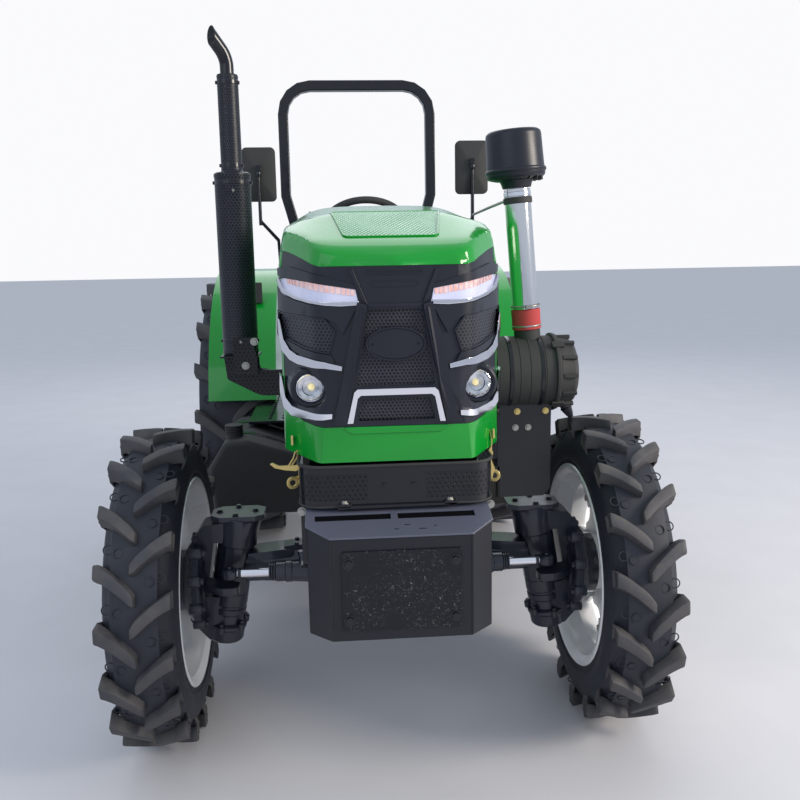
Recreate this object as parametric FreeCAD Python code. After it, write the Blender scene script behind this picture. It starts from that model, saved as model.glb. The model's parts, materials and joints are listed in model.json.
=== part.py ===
"""Farm tractor with two driven axles, an open driving platform and a two-post rollbar.

Millimetres, +Z up, the nose points along -Y and +X is the tractor's own left side.
The pieces are drawn with the front axle at Y = 0 over the ground at Z = 0, and moved by SHIFT_Y when they are
written, so that the part's origin lies on the ground in the middle of its length.
"""
import FreeCAD
import Part
import math
import os

V = FreeCAD.Vector
X_AXIS = V(1, 0, 0)
Z_AXIS = V(0, 0, 1)

# Overall
WHEELBASE = 2050
FRONT_REACH = 640
REAR_REACH = 860
SHIFT_Y = FRONT_REACH - (FRONT_REACH + WHEELBASE + REAR_REACH) / 2
FIT_GAP = 0.3
RUNNING_GAP = 0.5
PIN_GAP = 0.05
CORNER_STEP = 0.4

# Wheels: every size is a radius or a width
FRONT_WHEEL = {
    "radius": 488, "width": 208, "track_x": 702, "axle_y": 0, "lug_height": 27, "lug_bar": 36,
    "section": 186, "flange": 26, "rim_width": 195, "disc_x": 30, "hub_r": 88, "hub_face_x": 668.5,
}
REAR_WHEEL = {
    "radius": 683, "width": 372, "track_x": 641, "axle_y": WHEELBASE, "lug_height": 36, "lug_bar": 50,
    "section": 330, "flange": 27, "rim_width": 330, "disc_x": -40, "hub_r": 105, "hub_face_x": 472.5,
}
LUGS_A_SIDE = 18
LUG_SWEEP = 0.78
WHEEL_FACETS = 26
DISC_LOBES = 8

# Front axle and steering
AXLE_Z = FRONT_WHEEL["radius"]
BEAM_Z = 530
BEAM_R = 52
KINGPIN_X = 500
KINGPIN_LEAN = 9.4
KINGPIN_TOP_Z = 708
KINGPIN_BOTTOM_Z = 287
KINGPIN_R = 58
SWIVEL_TOP_Z = 604
SWIVEL_BOTTOM_Z = 452
SWIVEL_GAP = 0.6
STEER_ARM = 115
STEER_Z = 546
STEER_ROD_R = 13
STEER_CYLINDER_R = 29
STEER_CYLINDER_HALF = 352
STEER_GLAND_HALF = 390

# Frame and casings
FRAME_FRONT_Y = -470
FRAME_HALF = 232
FRAME_PLATE = 26
FRAME_TOP_Z = 862
ENGINE_FRONT_Y = -130
ENGINE_REAR_Y = 600
GEARBOX_HALF = 165
CASE_FRONT_Y = WHEELBASE - 350
CASE_HALF = 185
CASE_TOP_Z = REAR_WHEEL["radius"] + 292
PAD_TOP_Z = REAR_WHEEL["radius"] + 151
FLOOR_Z = REAR_WHEEL["radius"] + 141
FLOOR_THICK = 12
SHELF_Z = 500

# Hood, measured on its outside
HOOD_HALF_FRONT = 293
HOOD_HALF_REAR = 345
HOOD_REAR_Y = 780
HOOD_SKIN = 5
HINGE_Y = 770
HINGE_Z = 1620
HINGE_R = 10
NOSE_TOP_Y = -558
NOSE_BOTTOM_Y = -520
NOSE_CORNER_X = 190
LIP_Z = 1474
CHIN_TOP_Z = 1070
CHIN_BOTTOM_Z = 984
SIDE_BOTTOM_Z = 1170
MASK_REAR_Y = -345
MASK_GAP = 0.3

# Exhaust and air intake
EXHAUST_X = -453
EXHAUST_Y = 150
INTAKE_LEAN = 0.08
INTAKE_FOOT_X = 461
INTAKE_R = 40
CLEANER_Z = 1126
CLEANER_INNER_X = 334
CLEANER_R = 114

# Driver's place
FENDER_STEPS = 12
FENDER_R = REAR_WHEEL["radius"] + 68
WHEEL_HUB = (0, 1290, 1612)
WHEEL_TILT = 40
SEAT_Y = WHEELBASE - 330
SEAT_Z = CASE_TOP_Z + 115.3
ROLLBAR_Y = WHEELBASE + 16
ROLLBAR_TOP_Z = 2406

# Rear linkage
LINK_Z = 430
LINK_Y = WHEELBASE + 130
LINK_X = 215
LINK_END_X = 400
LINK_END_Y = WHEELBASE + REAR_REACH - 30
ROCK_Z = CASE_TOP_Z - 55
ARM_LENGTH = 300
PTO_Z = 560
DRAWBAR_TOP_Z = 400


def outline(points):
    """A closed wire through (u, v, radius) corners in the XY plane, each rounded by its radius in short steps."""
    count = len(points)
    places = []
    for i, (u, v, r) in enumerate(points):
        here = V(u, v, 0)
        if r <= 0:
            places.append(here)
            continue
        before = (V(points[i - 1][0], points[i - 1][1], 0) - here).normalize()
        after = (V(points[(i + 1) % count][0], points[(i + 1) % count][1], 0) - here).normalize()
        half = before.getAngle(after) / 2
        centre = here + (before + after).normalize() * (r / math.sin(half))
        spoke = here + before * (r / math.tan(half)) - centre
        turn = (math.pi - 2 * half) * (1 if before.cross(after).z < 0 else -1)
        steps = max(2, round(abs(turn) / CORNER_STEP))
        for k in range(steps + 1):
            angle = turn * k / steps
            places.append(centre + V(spoke.x * math.cos(angle) - spoke.y * math.sin(angle),
                                     spoke.x * math.sin(angle) + spoke.y * math.cos(angle), 0))
    return Part.makePolygon(places + places[:1])


def face_of(points):
    """A flat face from (u, v) or (u, v, radius) corners."""
    return Part.Face(outline([(*point, 0)[:3] for point in points]))


def plan_prism(points, z0, z1):
    """Extrudes an (x, y) outline from height z0 to z1."""
    return face_of(points).extrude(V(0, 0, z1 - z0)).translated(V(0, 0, z0))


def front_prism(points, y0, y1):
    """Extrudes an (x, z) outline seen from the front, from y0 back to y1."""
    shape = face_of(points)
    shape.rotate(V(0, 0, 0), X_AXIS, 90)
    return shape.extrude(V(0, y1 - y0, 0)).translated(V(0, y0, 0))


def side_prism(points, x0, x1):
    """Extrudes a (y, z) outline seen from the side, from x0 to x1."""
    shape = face_of(points)
    shape.rotate(V(0, 0, 0), V(1, 1, 1), 120)
    return shape.extrude(V(x1 - x0, 0, 0)).translated(V(x0, 0, 0))


def box(x0, x1, y0, y1, z0, z1):
    """An axis-aligned block between two corners."""
    return Part.makeBox(x1 - x0, y1 - y0, z1 - z0, V(x0, y0, z0))


def rod(start, end, radius):
    """A true round bar from start to end, for the bores that pins go through."""
    along = V(*end) - V(*start)
    return Part.makeCylinder(radius, along.Length, V(*start), along)


def turned(profile, origin, axis, facets):
    """A turned piece with flat facets, from a closed (radius, distance along the axis) profile."""
    origin = V(*origin)
    axis = V(*axis).normalize()
    across = X_AXIS if abs(axis.x) < 0.9 else V(0, 1, 0)
    first = axis.cross(across).normalize()
    second = axis.cross(first)
    rings = []
    for i in range(facets):
        angle = 2 * math.pi * i / facets
        outward = first * math.cos(angle) + second * math.sin(angle)
        rings.append([origin + axis * along + outward * radius for radius, along in profile])
    faces = []
    for i in range(facets):
        here = rings[i - 1]
        there = rings[i]
        for k in range(len(profile)):
            corners = [here[k - 1], here[k], there[k], there[k - 1]]
            loop = [corner for n, corner in enumerate(corners) if (corner - corners[n - 1]).Length > 1e-6]
            if len(loop) > 2:
                faces.append(Part.Face(Part.makePolygon(loop + loop[:1])))
    solid = Part.Solid(Part.makeShell(faces))
    if solid.Volume < 0:
        solid.reverse()
    return solid


def skin_of(rings):
    """A solid with flat sides between rings of corners, closed by its first and last ring."""
    faces = [Part.Face(Part.makePolygon(ring + ring[:1])) for ring in (rings[0], rings[-1])]
    for here, there in zip(rings, rings[1:]):
        for k in range(len(here)):
            loop = [here[k - 1], here[k], there[k], there[k - 1]]
            faces.append(Part.Face(Part.makePolygon(loop + loop[:1])))
    solid = Part.Solid(Part.makeShell(faces))
    if solid.Volume < 0:
        solid.reverse()
    return solid


def bent_bar(points, radius, facets):
    """A round bar with flat facets along points that lie in one plane across the tractor, mitred at every bend."""
    places = [V(*point) for point in points]
    depth = V(0, 1, 0)
    turns = [2 * math.pi * k / facets for k in range(facets)]
    rings = []
    for i, place in enumerate(places):
        leave = (places[i + 1] - place if i < len(places) - 1 else place - places[i - 1]).normalize()
        arrive = (place - places[i - 1]).normalize() if i else leave
        along = (arrive + leave).normalize()
        normal = along.cross(depth) * (1 / along.dot(leave))
        rings.append([place + (normal * math.cos(t) + depth * math.sin(t)) * radius for t in turns])
    return skin_of(rings)


def stack(steps, start, end, facets):
    """A turned piece from (distance, radius) steps along the line from start towards end."""
    axis = V(*end) - V(*start)
    profile = [(0, steps[0][0])] + [(radius, along) for along, radius in steps] + [(0, steps[-1][0])]
    return turned(profile, start, tuple(axis), facets)


def bar(start, end, radius, facets):
    """A round bar with flat facets from start to end."""
    return stack([(0, radius), ((V(*end) - V(*start)).Length, radius)], start, end, facets)


def fuse(shapes):
    """One solid from shapes that meet or overlap."""
    shapes = list(shapes)
    return shapes[0].multiFuse(shapes[1:]).removeSplitter() if len(shapes) > 1 else shapes[0]


def cut(body, tools):
    """A body with every tool taken away."""
    for tool in tools:
        body = body.cut(tool)
    return body


def mirrored(shape):
    """The same piece on the other side of the tractor."""
    return shape.mirror(V(0, 0, 0), X_AXIS)


def both(shape):
    """A piece and its mirror image."""
    return [shape, mirrored(shape)]


def across(points):
    """An (x, z) outline completed with its own mirror image, from corners given at positive x from the top down."""
    return list(points) + [(-point[0], *point[1:]) for point in reversed(points)]


def write(name, shapes):
    """Writes one node from its solids, moved into the part's own frame."""
    solids = []
    for shape in shapes if isinstance(shapes, (list, tuple)) else [shapes]:
        solids.extend(shape.Solids)
    moved = [solid.translated(V(0, SHIFT_Y, 0)) for solid in solids]
    shape = moved[0] if len(moved) == 1 else Part.makeCompound(moved)
    shape.exportStep(os.path.join("parts", name + ".step"))


# Wheels

def lug_body(half, sweep, bar, side, root_r, top_r):
    """A lug standing on top of the wheel, slanting back to the shoulder, with flanks that widen toward its root."""
    corners = [(-4, -sweep - bar * 0.3), (half, -bar * 0.55), (half, bar * 0.65), (0, -sweep + bar * 0.6)]
    rings = []
    for radius, scale in ((root_r, 1.18), (top_r, 1)):
        rings.append([V(side * (half / 2 + (x - half / 2) * scale), (y + sweep / 2) * scale, radius)
                      for x, y in corners])
    return skin_of(rings)


def tyre(size):
    """A cross-ply drive tyre: a carcass with two rows of slanting lugs, whose noses lead over the top."""
    radius, half = size["radius"], size["width"] / 2
    seat_r, bead = size["radius"] - size["section"], size["rim_width"] / 2 - 14
    carcass_r = radius - size["lug_height"]
    wall_r = seat_r + (carcass_r - seat_r) * 0.62
    flank = [(seat_r + FIT_GAP, bead), (wall_r, half - 2), (carcass_r, half - 22)]
    profile = [(r, -x) for r, x in flank] + list(reversed(flank))
    carcass = turned(profile, (0, 0, 0), (1, 0, 0), WHEEL_FACETS)
    sweep = half * LUG_SWEEP
    tail = sweep / 2 + size["lug_bar"] * 0.65
    top_r = math.sqrt(radius ** 2 - tail ** 2)
    first = math.degrees(math.atan(tail / top_r))
    pitch = 360 / LUGS_A_SIDE
    lugs = []
    for row, side in enumerate((-1, 1)):
        lug = lug_body(half - 8, sweep, size["lug_bar"], side, carcass_r - 22, top_r)
        for i in range(LUGS_A_SIDE):
            turned_lug = lug.copy()
            turned_lug.rotate(V(0, 0, 0), X_AXIS, first + pitch * (i + row * 0.5))
            lugs.append(turned_lug)
    return carcass.multiFuse(lugs)


def rim(size):
    """A welded rim: barrel with two flanges, a disc whose lobes meet it, and the hub that carries it."""
    seat_r, half, disc_x = size["radius"] - size["section"], size["rim_width"] / 2, size["disc_x"]
    rim_r = seat_r + size["flange"]
    edge = [(seat_r, half - 9), (rim_r, half - 9), (rim_r, half), (seat_r - 9, half)]
    profile = edge + [(seat_r - 28, 0)] + [(r, -x) for r, x in edge[::-1]]
    barrel = turned(profile, (0, 0, 0), (1, 0, 0), WHEEL_FACETS)
    disc_r = seat_r - 20
    lobes = []
    for i in range(DISC_LOBES):
        middle = 360 / DISC_LOBES * i
        for turn, radius in ((-9, disc_r), (9, disc_r), (22.5, disc_r - 62)):
            angle = math.radians(middle + turn)
            lobes.append((radius * math.sin(angle), radius * math.cos(angle)))
    disc = side_prism(lobes, disc_x - 6, disc_x + 6)
    near = size["hub_face_x"] - size["track_x"]
    hub_r = size["hub_r"]
    hub = stack([(near, hub_r), (disc_x + 22, hub_r), (disc_x + 30, hub_r * 0.62), (disc_x + 60, hub_r * 0.55)],
                (0, 0, 0), (1, 0, 0), 16)
    return barrel.multiFuse([disc, hub])


def make_wheels():
    """Four tyres and four rims, drawn for the left side and mirrored for the right."""
    for end, size in (("front", FRONT_WHEEL), ("rear", REAR_WHEEL)):
        place = V(size["track_x"], size["axle_y"], size["radius"])
        for name, piece in (("tyre", tyre(size)), ("rim", rim(size))):
            placed = piece.translated(place)
            write(f"{end}_{name}_left", placed)
            write(f"{end}_{name}_right", mirrored(placed))


# Front axle and steering

def kingpin_x(z):
    """X of the leaning kingpin's axis at height z, on the left side."""
    return KINGPIN_X - (z - AXLE_Z) * math.tan(math.radians(KINGPIN_LEAN))


def kingpin_stack(steps, facets):
    """A turned length of the left kingpin, from (height, radius) steps."""
    slope = 1 / math.cos(math.radians(KINGPIN_LEAN))
    start = (kingpin_x(0), 0, 0)
    return stack([(z * slope, radius) for z, radius in steps], start, (kingpin_x(1000), 0, 1000), facets)


def axle_shape():
    """The beam with its differential, the fixed swivel tubes at its ends and its pivot lug."""
    arm = stack([(0, 78), (300, 56), (350, BEAM_R), (400, BEAM_R)], (50, 0, BEAM_Z), (500, 0, BEAM_Z), 12)
    saddle = front_prism([(300, 586), (330, 592), (440, 582), (462, 500), (330, 490)], -46, 46)
    swivel = kingpin_stack([(SWIVEL_BOTTOM_Z, KINGPIN_R), (SWIVEL_TOP_Z, KINGPIN_R)], 14)
    gusset = front_prism([(120, 540, 0), (300, 560, 0), (330, 596, 0), (300, 600, 0), (60, 600, 0)], -30, 30)
    case = stack([(-72, 100), (-60, 118), (95, 118), (110, 84), (250, 56), (250, 34), (640, 34)],
                 (0, 0, 500), (0, 1, 500), 14)
    lug = front_prism([(-50, 560), (50, 560), (44, 672, 30), (-44, 672, 30)], -70, 70)
    beam = fuse([case, lug] + both(arm) + both(saddle) + both(swivel) + both(gusset))
    return beam.cut(gearbox_shape())


def make_steering():
    """The double-ended cylinder in front of the beam, and its rod with an eye over each steering arm."""
    y = -STEER_ARM
    steps = [(-STEER_GLAND_HALF, 22), (-STEER_CYLINDER_HALF, 22), (-STEER_CYLINDER_HALF, STEER_CYLINDER_R),
             (STEER_CYLINDER_HALF, STEER_CYLINDER_R), (STEER_CYLINDER_HALF, 22), (STEER_GLAND_HALF, 22)]
    body = stack(steps, (0, y, STEER_Z), (1, y, STEER_Z), 16)
    feet = both(box(128, 172, y, -40, STEER_Z - 22, STEER_Z + 22))
    bore = bar((-STEER_GLAND_HALF - 1, y, STEER_Z), (STEER_GLAND_HALF + 1, y, STEER_Z), STEER_ROD_R + FIT_GAP, 12)
    write("steering_cylinder", fuse([body] + feet).cut(bore).cut(axle_shape()))
    eye_x = kingpin_x(STEER_Z)
    shaft = bar((-eye_x, y, STEER_Z), (eye_x, y, STEER_Z), STEER_ROD_R, 12)
    eye = stack([(-16, 20), (-10, 25), (10, 25), (16, 20)], (eye_x, y, STEER_Z), (eye_x, y, STEER_Z + 1), 12)
    write("steering_rod", fuse([shaft] + both(eye)))


def make_knuckles():
    """The swivel housings: cap plate, leaning kingpin casings, bolted drive case and steering arm."""
    top_x = kingpin_x(KINGPIN_TOP_Z)
    side_x = KINGPIN_X + KINGPIN_R + 12
    upper = kingpin_stack([(SWIVEL_TOP_Z + SWIVEL_GAP, 62), (KINGPIN_TOP_Z - 12, 66)], 14)
    lower = kingpin_stack([(KINGPIN_BOTTOM_Z, 50), (KINGPIN_BOTTOM_Z + 8, 60), (345, 60), (352, 50), (380, 50),
                           (384, 57), (SWIVEL_BOTTOM_Z - SWIVEL_GAP, 57)], 14)
    cap = plan_prism([(top_x - 78, -40), (top_x - 50, -62), (top_x + 60, -62), (top_x + 88, -36), (top_x + 88, 36),
                      (top_x + 60, 62), (top_x - 50, 62), (top_x - 78, 40)], KINGPIN_TOP_Z - 14, KINGPIN_TOP_Z)
    cheek = front_prism([(kingpin_x(692), 692), (side_x + 10, 676, 20), (side_x + 62, 600, 30), (side_x + 62, 372, 30),
                         (kingpin_x(310) + 44, 304), (kingpin_x(304), 304), (kingpin_x(440), 440),
                         (kingpin_x(440) + KINGPIN_R + 8, 449), (kingpin_x(624) + KINGPIN_R + 10, 624),
                         (kingpin_x(624), 616)], -50, 50)
    case = stack([(8, 96), (16, 142), (36, 142), (60, 116), (66, 98),
                  (FRONT_WHEEL["hub_face_x"] - RUNNING_GAP - side_x, 98)], (side_x, 0, AXLE_Z), (1000, 0, AXLE_Z), 16)
    arm_z = STEER_Z - 37
    eye_x = kingpin_x(STEER_Z)
    arm = plan_prism([(eye_x - 27, -STEER_ARM - 27, 22), (eye_x + 27, -STEER_ARM - 27, 22), (side_x + 40, -70),
                      (side_x + 40, -30), (eye_x + KINGPIN_R + 18, -36), (eye_x - 27, -90, 16)], arm_z - 24, arm_z)
    left = fuse([upper, lower, cap, cheek, case, arm])
    write("knuckle_left", left)
    write("knuckle_right", mirrored(left))


# Chassis

def engine_shape():
    """The engine as one plain block at its real place and size."""
    front, rear = ENGINE_FRONT_Y, ENGINE_REAR_Y
    return side_prism([(front, 790), (front, 1240), (front + 70, 1270), (rear, 1290), (rear, 560), (rear - 350, 560),
                       (rear - 460, 640), (rear - 460, 790)], -200, 200)


def gearbox_shape():
    """Clutch bell and gearbox as one casting."""
    front, rear = ENGINE_REAR_Y, CASE_FRONT_Y
    top = FLOOR_Z + 116
    return side_prism([(front, 520), (front, top + 180), (front + 160, top + 80, 60), (rear - 450, top), (rear, top),
                       (rear, 430), (rear - 550, 430, 60), (front + 160, 480)], -GEARBOX_HALF, GEARBOX_HALF)


def make_chassis():
    """Front frame, engine, radiator, gearbox, rear axle and the guarded shaft to the front axle."""
    inner = FRAME_HALF - FRAME_PLATE
    cheeks = both(side_prism([(FRAME_FRONT_Y, 610, 20), (FRAME_FRONT_Y, FRAME_TOP_Z), (120, FRAME_TOP_Z), (120, 760, 40),
                              (-150, 690, 60), (-300, 610, 60)], inner, FRAME_HALF))
    deck = box(-FRAME_HALF, FRAME_HALF, FRAME_FRONT_Y, -250, FRAME_TOP_Z - 22, FRAME_TOP_Z)
    wall = box(-FRAME_HALF, FRAME_HALF, FRAME_FRONT_Y, FRAME_FRONT_Y + 22, 640, FRAME_TOP_Z)
    hangers = [box(-60, 60, y0, y0 + 42, 606, 780) for y0 in (-112, 70)]
    beams = [box(-FRAME_HALF, FRAME_HALF, y0, y0 + 42, 740, 790) for y0 in (-112, 70)]
    mounts = both(box(200, inner, -100, 110, 770, FRAME_TOP_Z))
    seat_z = FRAME_TOP_Z + 38
    pedestal = box(-225, 225, -415, -320, FRAME_TOP_Z, seat_z)
    shelf = box(-185, 185, FIT_GAP - 508, -410, FRAME_TOP_Z, FRAME_TOP_Z + 18)
    frame = fuse(cheeks + hangers + beams + [deck, wall, pedestal, shelf] + mounts)
    write("front_frame", frame.cut(axle_shape()))
    write("front_axle", axle_shape())
    write("engine_block", engine_shape())
    write("radiator", box(-225, 225, -400, -335, seat_z, seat_z + 500))
    write("gearbox", gearbox_shape())


def make_rear_axle():
    """The rear case with its trumpets, rollbar pads, rockshaft, link pins and drawbar hangers."""
    rear = WHEELBASE + 240
    case = side_prism([(CASE_FRONT_Y, 430), (CASE_FRONT_Y, CASE_TOP_Z), (rear - 70, CASE_TOP_Z, 40),
                       (rear, CASE_TOP_Z - 75), (rear, 470), (rear - 110, 420)], -CASE_HALF, CASE_HALF)
    trumpet = stack([(180, 150), (200, 150), (215, 132), (430, 100), (432, 126),
                     (REAR_WHEEL["hub_face_x"] - RUNNING_GAP, 126)],
                    (0, WHEELBASE, REAR_WHEEL["radius"]), (1, WHEELBASE, REAR_WHEEL["radius"]), 16)
    outlet = stack([(rear - 5, 84), (rear + 28, 84), (rear + 40, 60)], (0, 0, PTO_Z), (0, 1, PTO_Z), 14)
    pad = box(CASE_HALF - 10, 325, WHEELBASE - 50, WHEELBASE + 110, REAR_WHEEL["radius"] - 43, PAD_TOP_Z)
    rockshaft = bar((-267, LINK_Y, ROCK_Z), (267, LINK_Y, ROCK_Z), 30, 12)
    pin = bar((-LINK_X + 14.5, LINK_Y, LINK_Z), (LINK_X - 14.5, LINK_Y, LINK_Z), 20, 12)
    hangers = [box(-45, 45, y, y + 56, DRAWBAR_TOP_Z, z1) for y, z1 in ((rear - 380, 440), (rear - 110, 500))]
    write("rear_axle", fuse([case, outlet, rockshaft, pin] + both(trumpet) + both(pad) + hangers))


# Nose: weight box and perforated wrap

def make_nose():
    """The ballast box ahead of the frame with its bolted front plate, and the wrap above it."""
    face_y = -FRONT_REACH + 6
    half, face_half = FRAME_HALF + 2, 176
    body = plan_prism([(-half, FRAME_FRONT_Y), (-half, face_y + 52), (-face_half, face_y), (face_half, face_y),
                       (half, face_y + 52), (half, FRAME_FRONT_Y)], 552, 900)
    above = side_prism([(face_y - 66, 799), (FRAME_FRONT_Y + 5, 860), (FRAME_FRONT_Y + 5, 1000), (face_y - 66, 1000)],
                       -300, 300)
    slots = [box(x0, x1, FRAME_FRONT_Y - 60, FRAME_FRONT_Y - 30, 760, 900) for x0, x1 in ((-205, -12), (12, 205))]
    plate = front_prism(across([(150, 786, 6), (150, 580, 6)]), -FRONT_REACH, face_y)
    write("weight_box", fuse([cut(body, [above] + slots), plate]))
    wrap_half, wrap_y = 252, -512
    outer = plan_prism([(-wrap_half, -280), (-wrap_half, wrap_y, 60), (wrap_half, wrap_y, 60), (wrap_half, -280)],
                       FRAME_TOP_Z, FRAME_TOP_Z + 110)
    inner = plan_prism([(4 - wrap_half, -200), (4 - wrap_half, wrap_y + 4, 56), (wrap_half - 4, wrap_y + 4, 56),
                        (wrap_half - 4, -200)], FRAME_TOP_Z - 10, FRAME_TOP_Z + 128)
    write("nose_wrap", outer.cut(inner))
    foot = FRAME_TOP_Z + 44
    catch = side_prism([(-400, foot), (-400, foot + 60, 8), (-376, foot + 70, 8), (-364, foot + 54), (-372, foot)],
                       wrap_half, wrap_half + 8)
    ring = turned([(10, -3), (17, -3), (17, 3), (10, 3)], (wrap_half + 4, -386, foot - 12), (1, 0, 0), 10)
    write("nose_latches", both(fuse([catch, ring])))


# Hood

def hood_solid(inset):
    """The hood's outside, or a copy set in by inset: front, plan and side outlines intersected."""
    low = CHIN_BOTTOM_Z - (20 if inset else 0)
    rear = HOOD_REAR_Y + (1 if inset else 0)
    nose = NOSE_TOP_Y + inset - 2
    side = side_prism([(NOSE_BOTTOM_Y + inset, low), (nose, LIP_Z - 120), (nose, LIP_Z + 26 - inset, 16),
                       (-480, 1536 - inset), (-230, 1614 - inset, 300), (100, 1652 - inset, 400),
                       (rear, 1680 - inset), (rear, low)], -400, 400)
    half_front, half_rear = HOOD_HALF_FRONT - inset, HOOD_HALF_REAR - inset
    corner_x, corner_y = NOSE_CORNER_X - inset / 2, NOSE_TOP_Y + 24 + inset
    plan = plan_prism([(-half_rear, HOOD_REAR_Y + 5), (-half_front, -335, 60), (-corner_x, corner_y, 60),
                       (0, NOSE_TOP_Y + inset), (corner_x, corner_y, 60), (half_front, -335, 60),
                       (half_rear, HOOD_REAR_Y + 5)], CHIN_BOTTOM_Z - 30, 1800)
    wide, top = HOOD_HALF_REAR + 4 - inset, 1684 - inset
    front = front_prism(across([(0.1, top), (wide - 120, top - 22), (wide - 36, top - 66, 30), (wide, top - 150, 60),
                                (wide, CHIN_BOTTOM_Z - 30)]), -700, HOOD_REAR_Y + 10)
    return side.common(plan).common(front)


# The mask's openings and fittings, as (x, z) outlines on its left half
GRILLE = [(65, 1372, 8), (106, 1176, 8)]
LOW_GRILLE = [(84, 1148, 8), (98, 1092, 4)]
LOW_TRIM = [(105, 1174, 10), (124, 1086)]
SIDE_MESH = [(275, 1398), (172, 1341), (152, 1314), (166, 1267), (231, 1280), (276, 1342)]
HEADLIGHT = [(262, 1468), (97, 1421), (87, 1387), (213, 1388), (288, 1428), (292, 1455)]
UPPER_STRIP = [(310, 1352), (310, 1330), (246, 1243), (135, 1218), (133, 1231), (238, 1256)]
LOWER_STRIP = [(310, 1190), (310, 1166), (253, 1108), (164, 1094), (163, 1106), (246, 1126)]
V_RIB = [(92, 1388), (158, 1084), (126, 1084), (68, 1380)]
BADGE = [(36, 1299, 16), (36, 1265, 16)]
LAMP_X, LAMP_Z, LAMP_R = 217, 1163, 36


def nose_piece(inside, points, depth):
    """The part of a hood-shaped skin that lies behind an (x, z) outline on the nose."""
    return inside.common(front_prism(points, -700, depth))


def make_hood():
    """The one-piece hood with its open underside and top mesh, and the black mask with its fittings."""
    outer = hood_solid(0)
    shell = outer.cut(hood_solid(HOOD_SKIN))
    below = side_prism([(-260, 900), (-220, 1040, 40), (-150, SIDE_BOTTOM_Z, 60), (HOOD_REAR_Y + 20, SIDE_BOTTOM_Z),
                        (HOOD_REAR_Y + 20, 900)], -400, 400)
    zone = [(-700, CHIN_TOP_Z), (-440, CHIN_TOP_Z + 10), (MASK_REAR_Y, CHIN_TOP_Z + 60), (MASK_REAR_Y, 1530),
            (-440, 1500), (-530, LIP_Z), (-700, LIP_Z)]
    inner_zone = [(-700, CHIN_TOP_Z + MASK_GAP), (-440, CHIN_TOP_Z + 10 + MASK_GAP),
                  (MASK_REAR_Y - MASK_GAP, CHIN_TOP_Z + 60 + MASK_GAP), (MASK_REAR_Y - MASK_GAP, 1530 - MASK_GAP),
                  (-440, 1500 - MASK_GAP), (-530, LIP_Z - MASK_GAP), (-700, LIP_Z - MASK_GAP)]
    vent = plan_prism([(-118, -455, 18), (-152, -200, 18), (152, -200, 18), (118, -455, 18)], 1450, 1800)
    lug = side_prism([(HINGE_Y - 16, HINGE_Z - 16, 10), (HINGE_Y - 30, 1690), (HINGE_Y + 8, 1690),
                      (HINGE_Y + 10, HINGE_Z - 16, 10)], 150, 162).common(outer)
    pin_hole = rod((-200, HINGE_Y, HINGE_Z), (200, HINGE_Y, HINGE_Z), HINGE_R + PIN_GAP)
    hood = cut(fuse([cut(shell, [below, side_prism(zone, -400, 400), vent])] + both(lug)), [pin_hole])
    screen = outer.cut(hood_solid(3)).common(vent)
    write("hood", hood)
    write("top_mesh", screen)

    ribbed = hood_solid(2)
    deep = hood_solid(18)
    skin = ribbed.cut(deep).common(side_prism(inner_zone, -400, 400))
    openings = [across(GRILLE), across(LOW_GRILLE)]
    sides = [SIDE_MESH, HEADLIGHT]
    tools = [front_prism(points, -700, -200) for points in openings]
    for points in sides:
        tools.extend(both(front_prism(points, -700, -200)))
    pockets = both(bar((LAMP_X, -620, LAMP_Z), (LAMP_X, -300, LAMP_Z), LAMP_R + 6 + FIT_GAP, 16))
    proud = hood_solid(-8).cut(hood_solid(3))
    ribs = both(nose_piece(proud, V_RIB, -300))
    mask = cut(fuse([skin] + ribs), tools + pockets)
    write("front_mask", mask)
    back = hood_solid(10).cut(hood_solid(16))
    badge = nose_piece(hood_solid(4).cut(hood_solid(12)), across(BADGE), -250)
    mesh = [fuse([nose_piece(back, openings[0], -250), badge]), nose_piece(back, openings[1], -250)]
    mesh.extend(both(nose_piece(back, SIDE_MESH, -250)))
    write("grilles", mesh)
    write("headlights", both(nose_piece(hood_solid(4).cut(hood_solid(16)), HEADLIGHT, MASK_REAR_Y - MASK_GAP)))
    band = outer.cut(ribbed)
    trim = [nose_piece(band, across(LOW_TRIM), -250).cut(front_prism(across(LOW_GRILLE), -700, -200))]
    for points in (UPPER_STRIP, LOWER_STRIP):
        trim.extend(both(nose_piece(band, points, MASK_REAR_Y - MASK_GAP)))
    write("mask_trim", trim)
    lamp_y = -470
    lamp = stack([(6, LAMP_R - 2), (0, LAMP_R + 2), (6, LAMP_R + 6), (40, LAMP_R + 6)],
                 (LAMP_X, lamp_y, LAMP_Z), (LAMP_X, 0, LAMP_Z), 16)
    write("round_lamps", both(lamp))


# Exhaust and air intake

def make_exhaust():
    """Stack with two heat shields, and the bracket that carries it."""
    x, y = EXHAUST_X, EXHAUST_Y
    foot = (x, y, 0)
    shield = turned([(25.3, 1190), (55, 1190), (58, 1196), (58, 1756), (36, 1764), (36, 2040), (32, 2040),
                     (32, 1764), (25.3, 1764)], foot, (0, 0, 1), 20)
    write("exhaust_shield", shield)
    bend_r, bend_z, reach = 75, 2085, 50
    path = [(x, y, 1190), (x, y, bend_z)]
    for degrees in (14, 28, 42, 56):
        angle = math.radians(degrees)
        path.append((x - bend_r * (1 - math.cos(angle)), y, bend_z + bend_r * math.sin(angle)))
    path.append((path[-1][0] - reach * math.sin(angle), y, path[-1][2] + reach * math.cos(angle)))
    write("exhaust_pipe", bent_bar(path, 25, 14).cut(bent_bar(path[2:], 22, 14)))
    plate = front_prism([(x - 44, 1184), (x + 60, 1184), (x + 60, 1140), (-200, 1140), (-200, 1056), (x + 60, 1056, 90),
                         (x - 44, 1120)], y - 30, y - 24)
    disc = stack([(1184, 60), (1190, 60)], (x, y, 0), (x, y, 1), 20)
    write("exhaust_bracket", fuse([plate, disc]))


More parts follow.
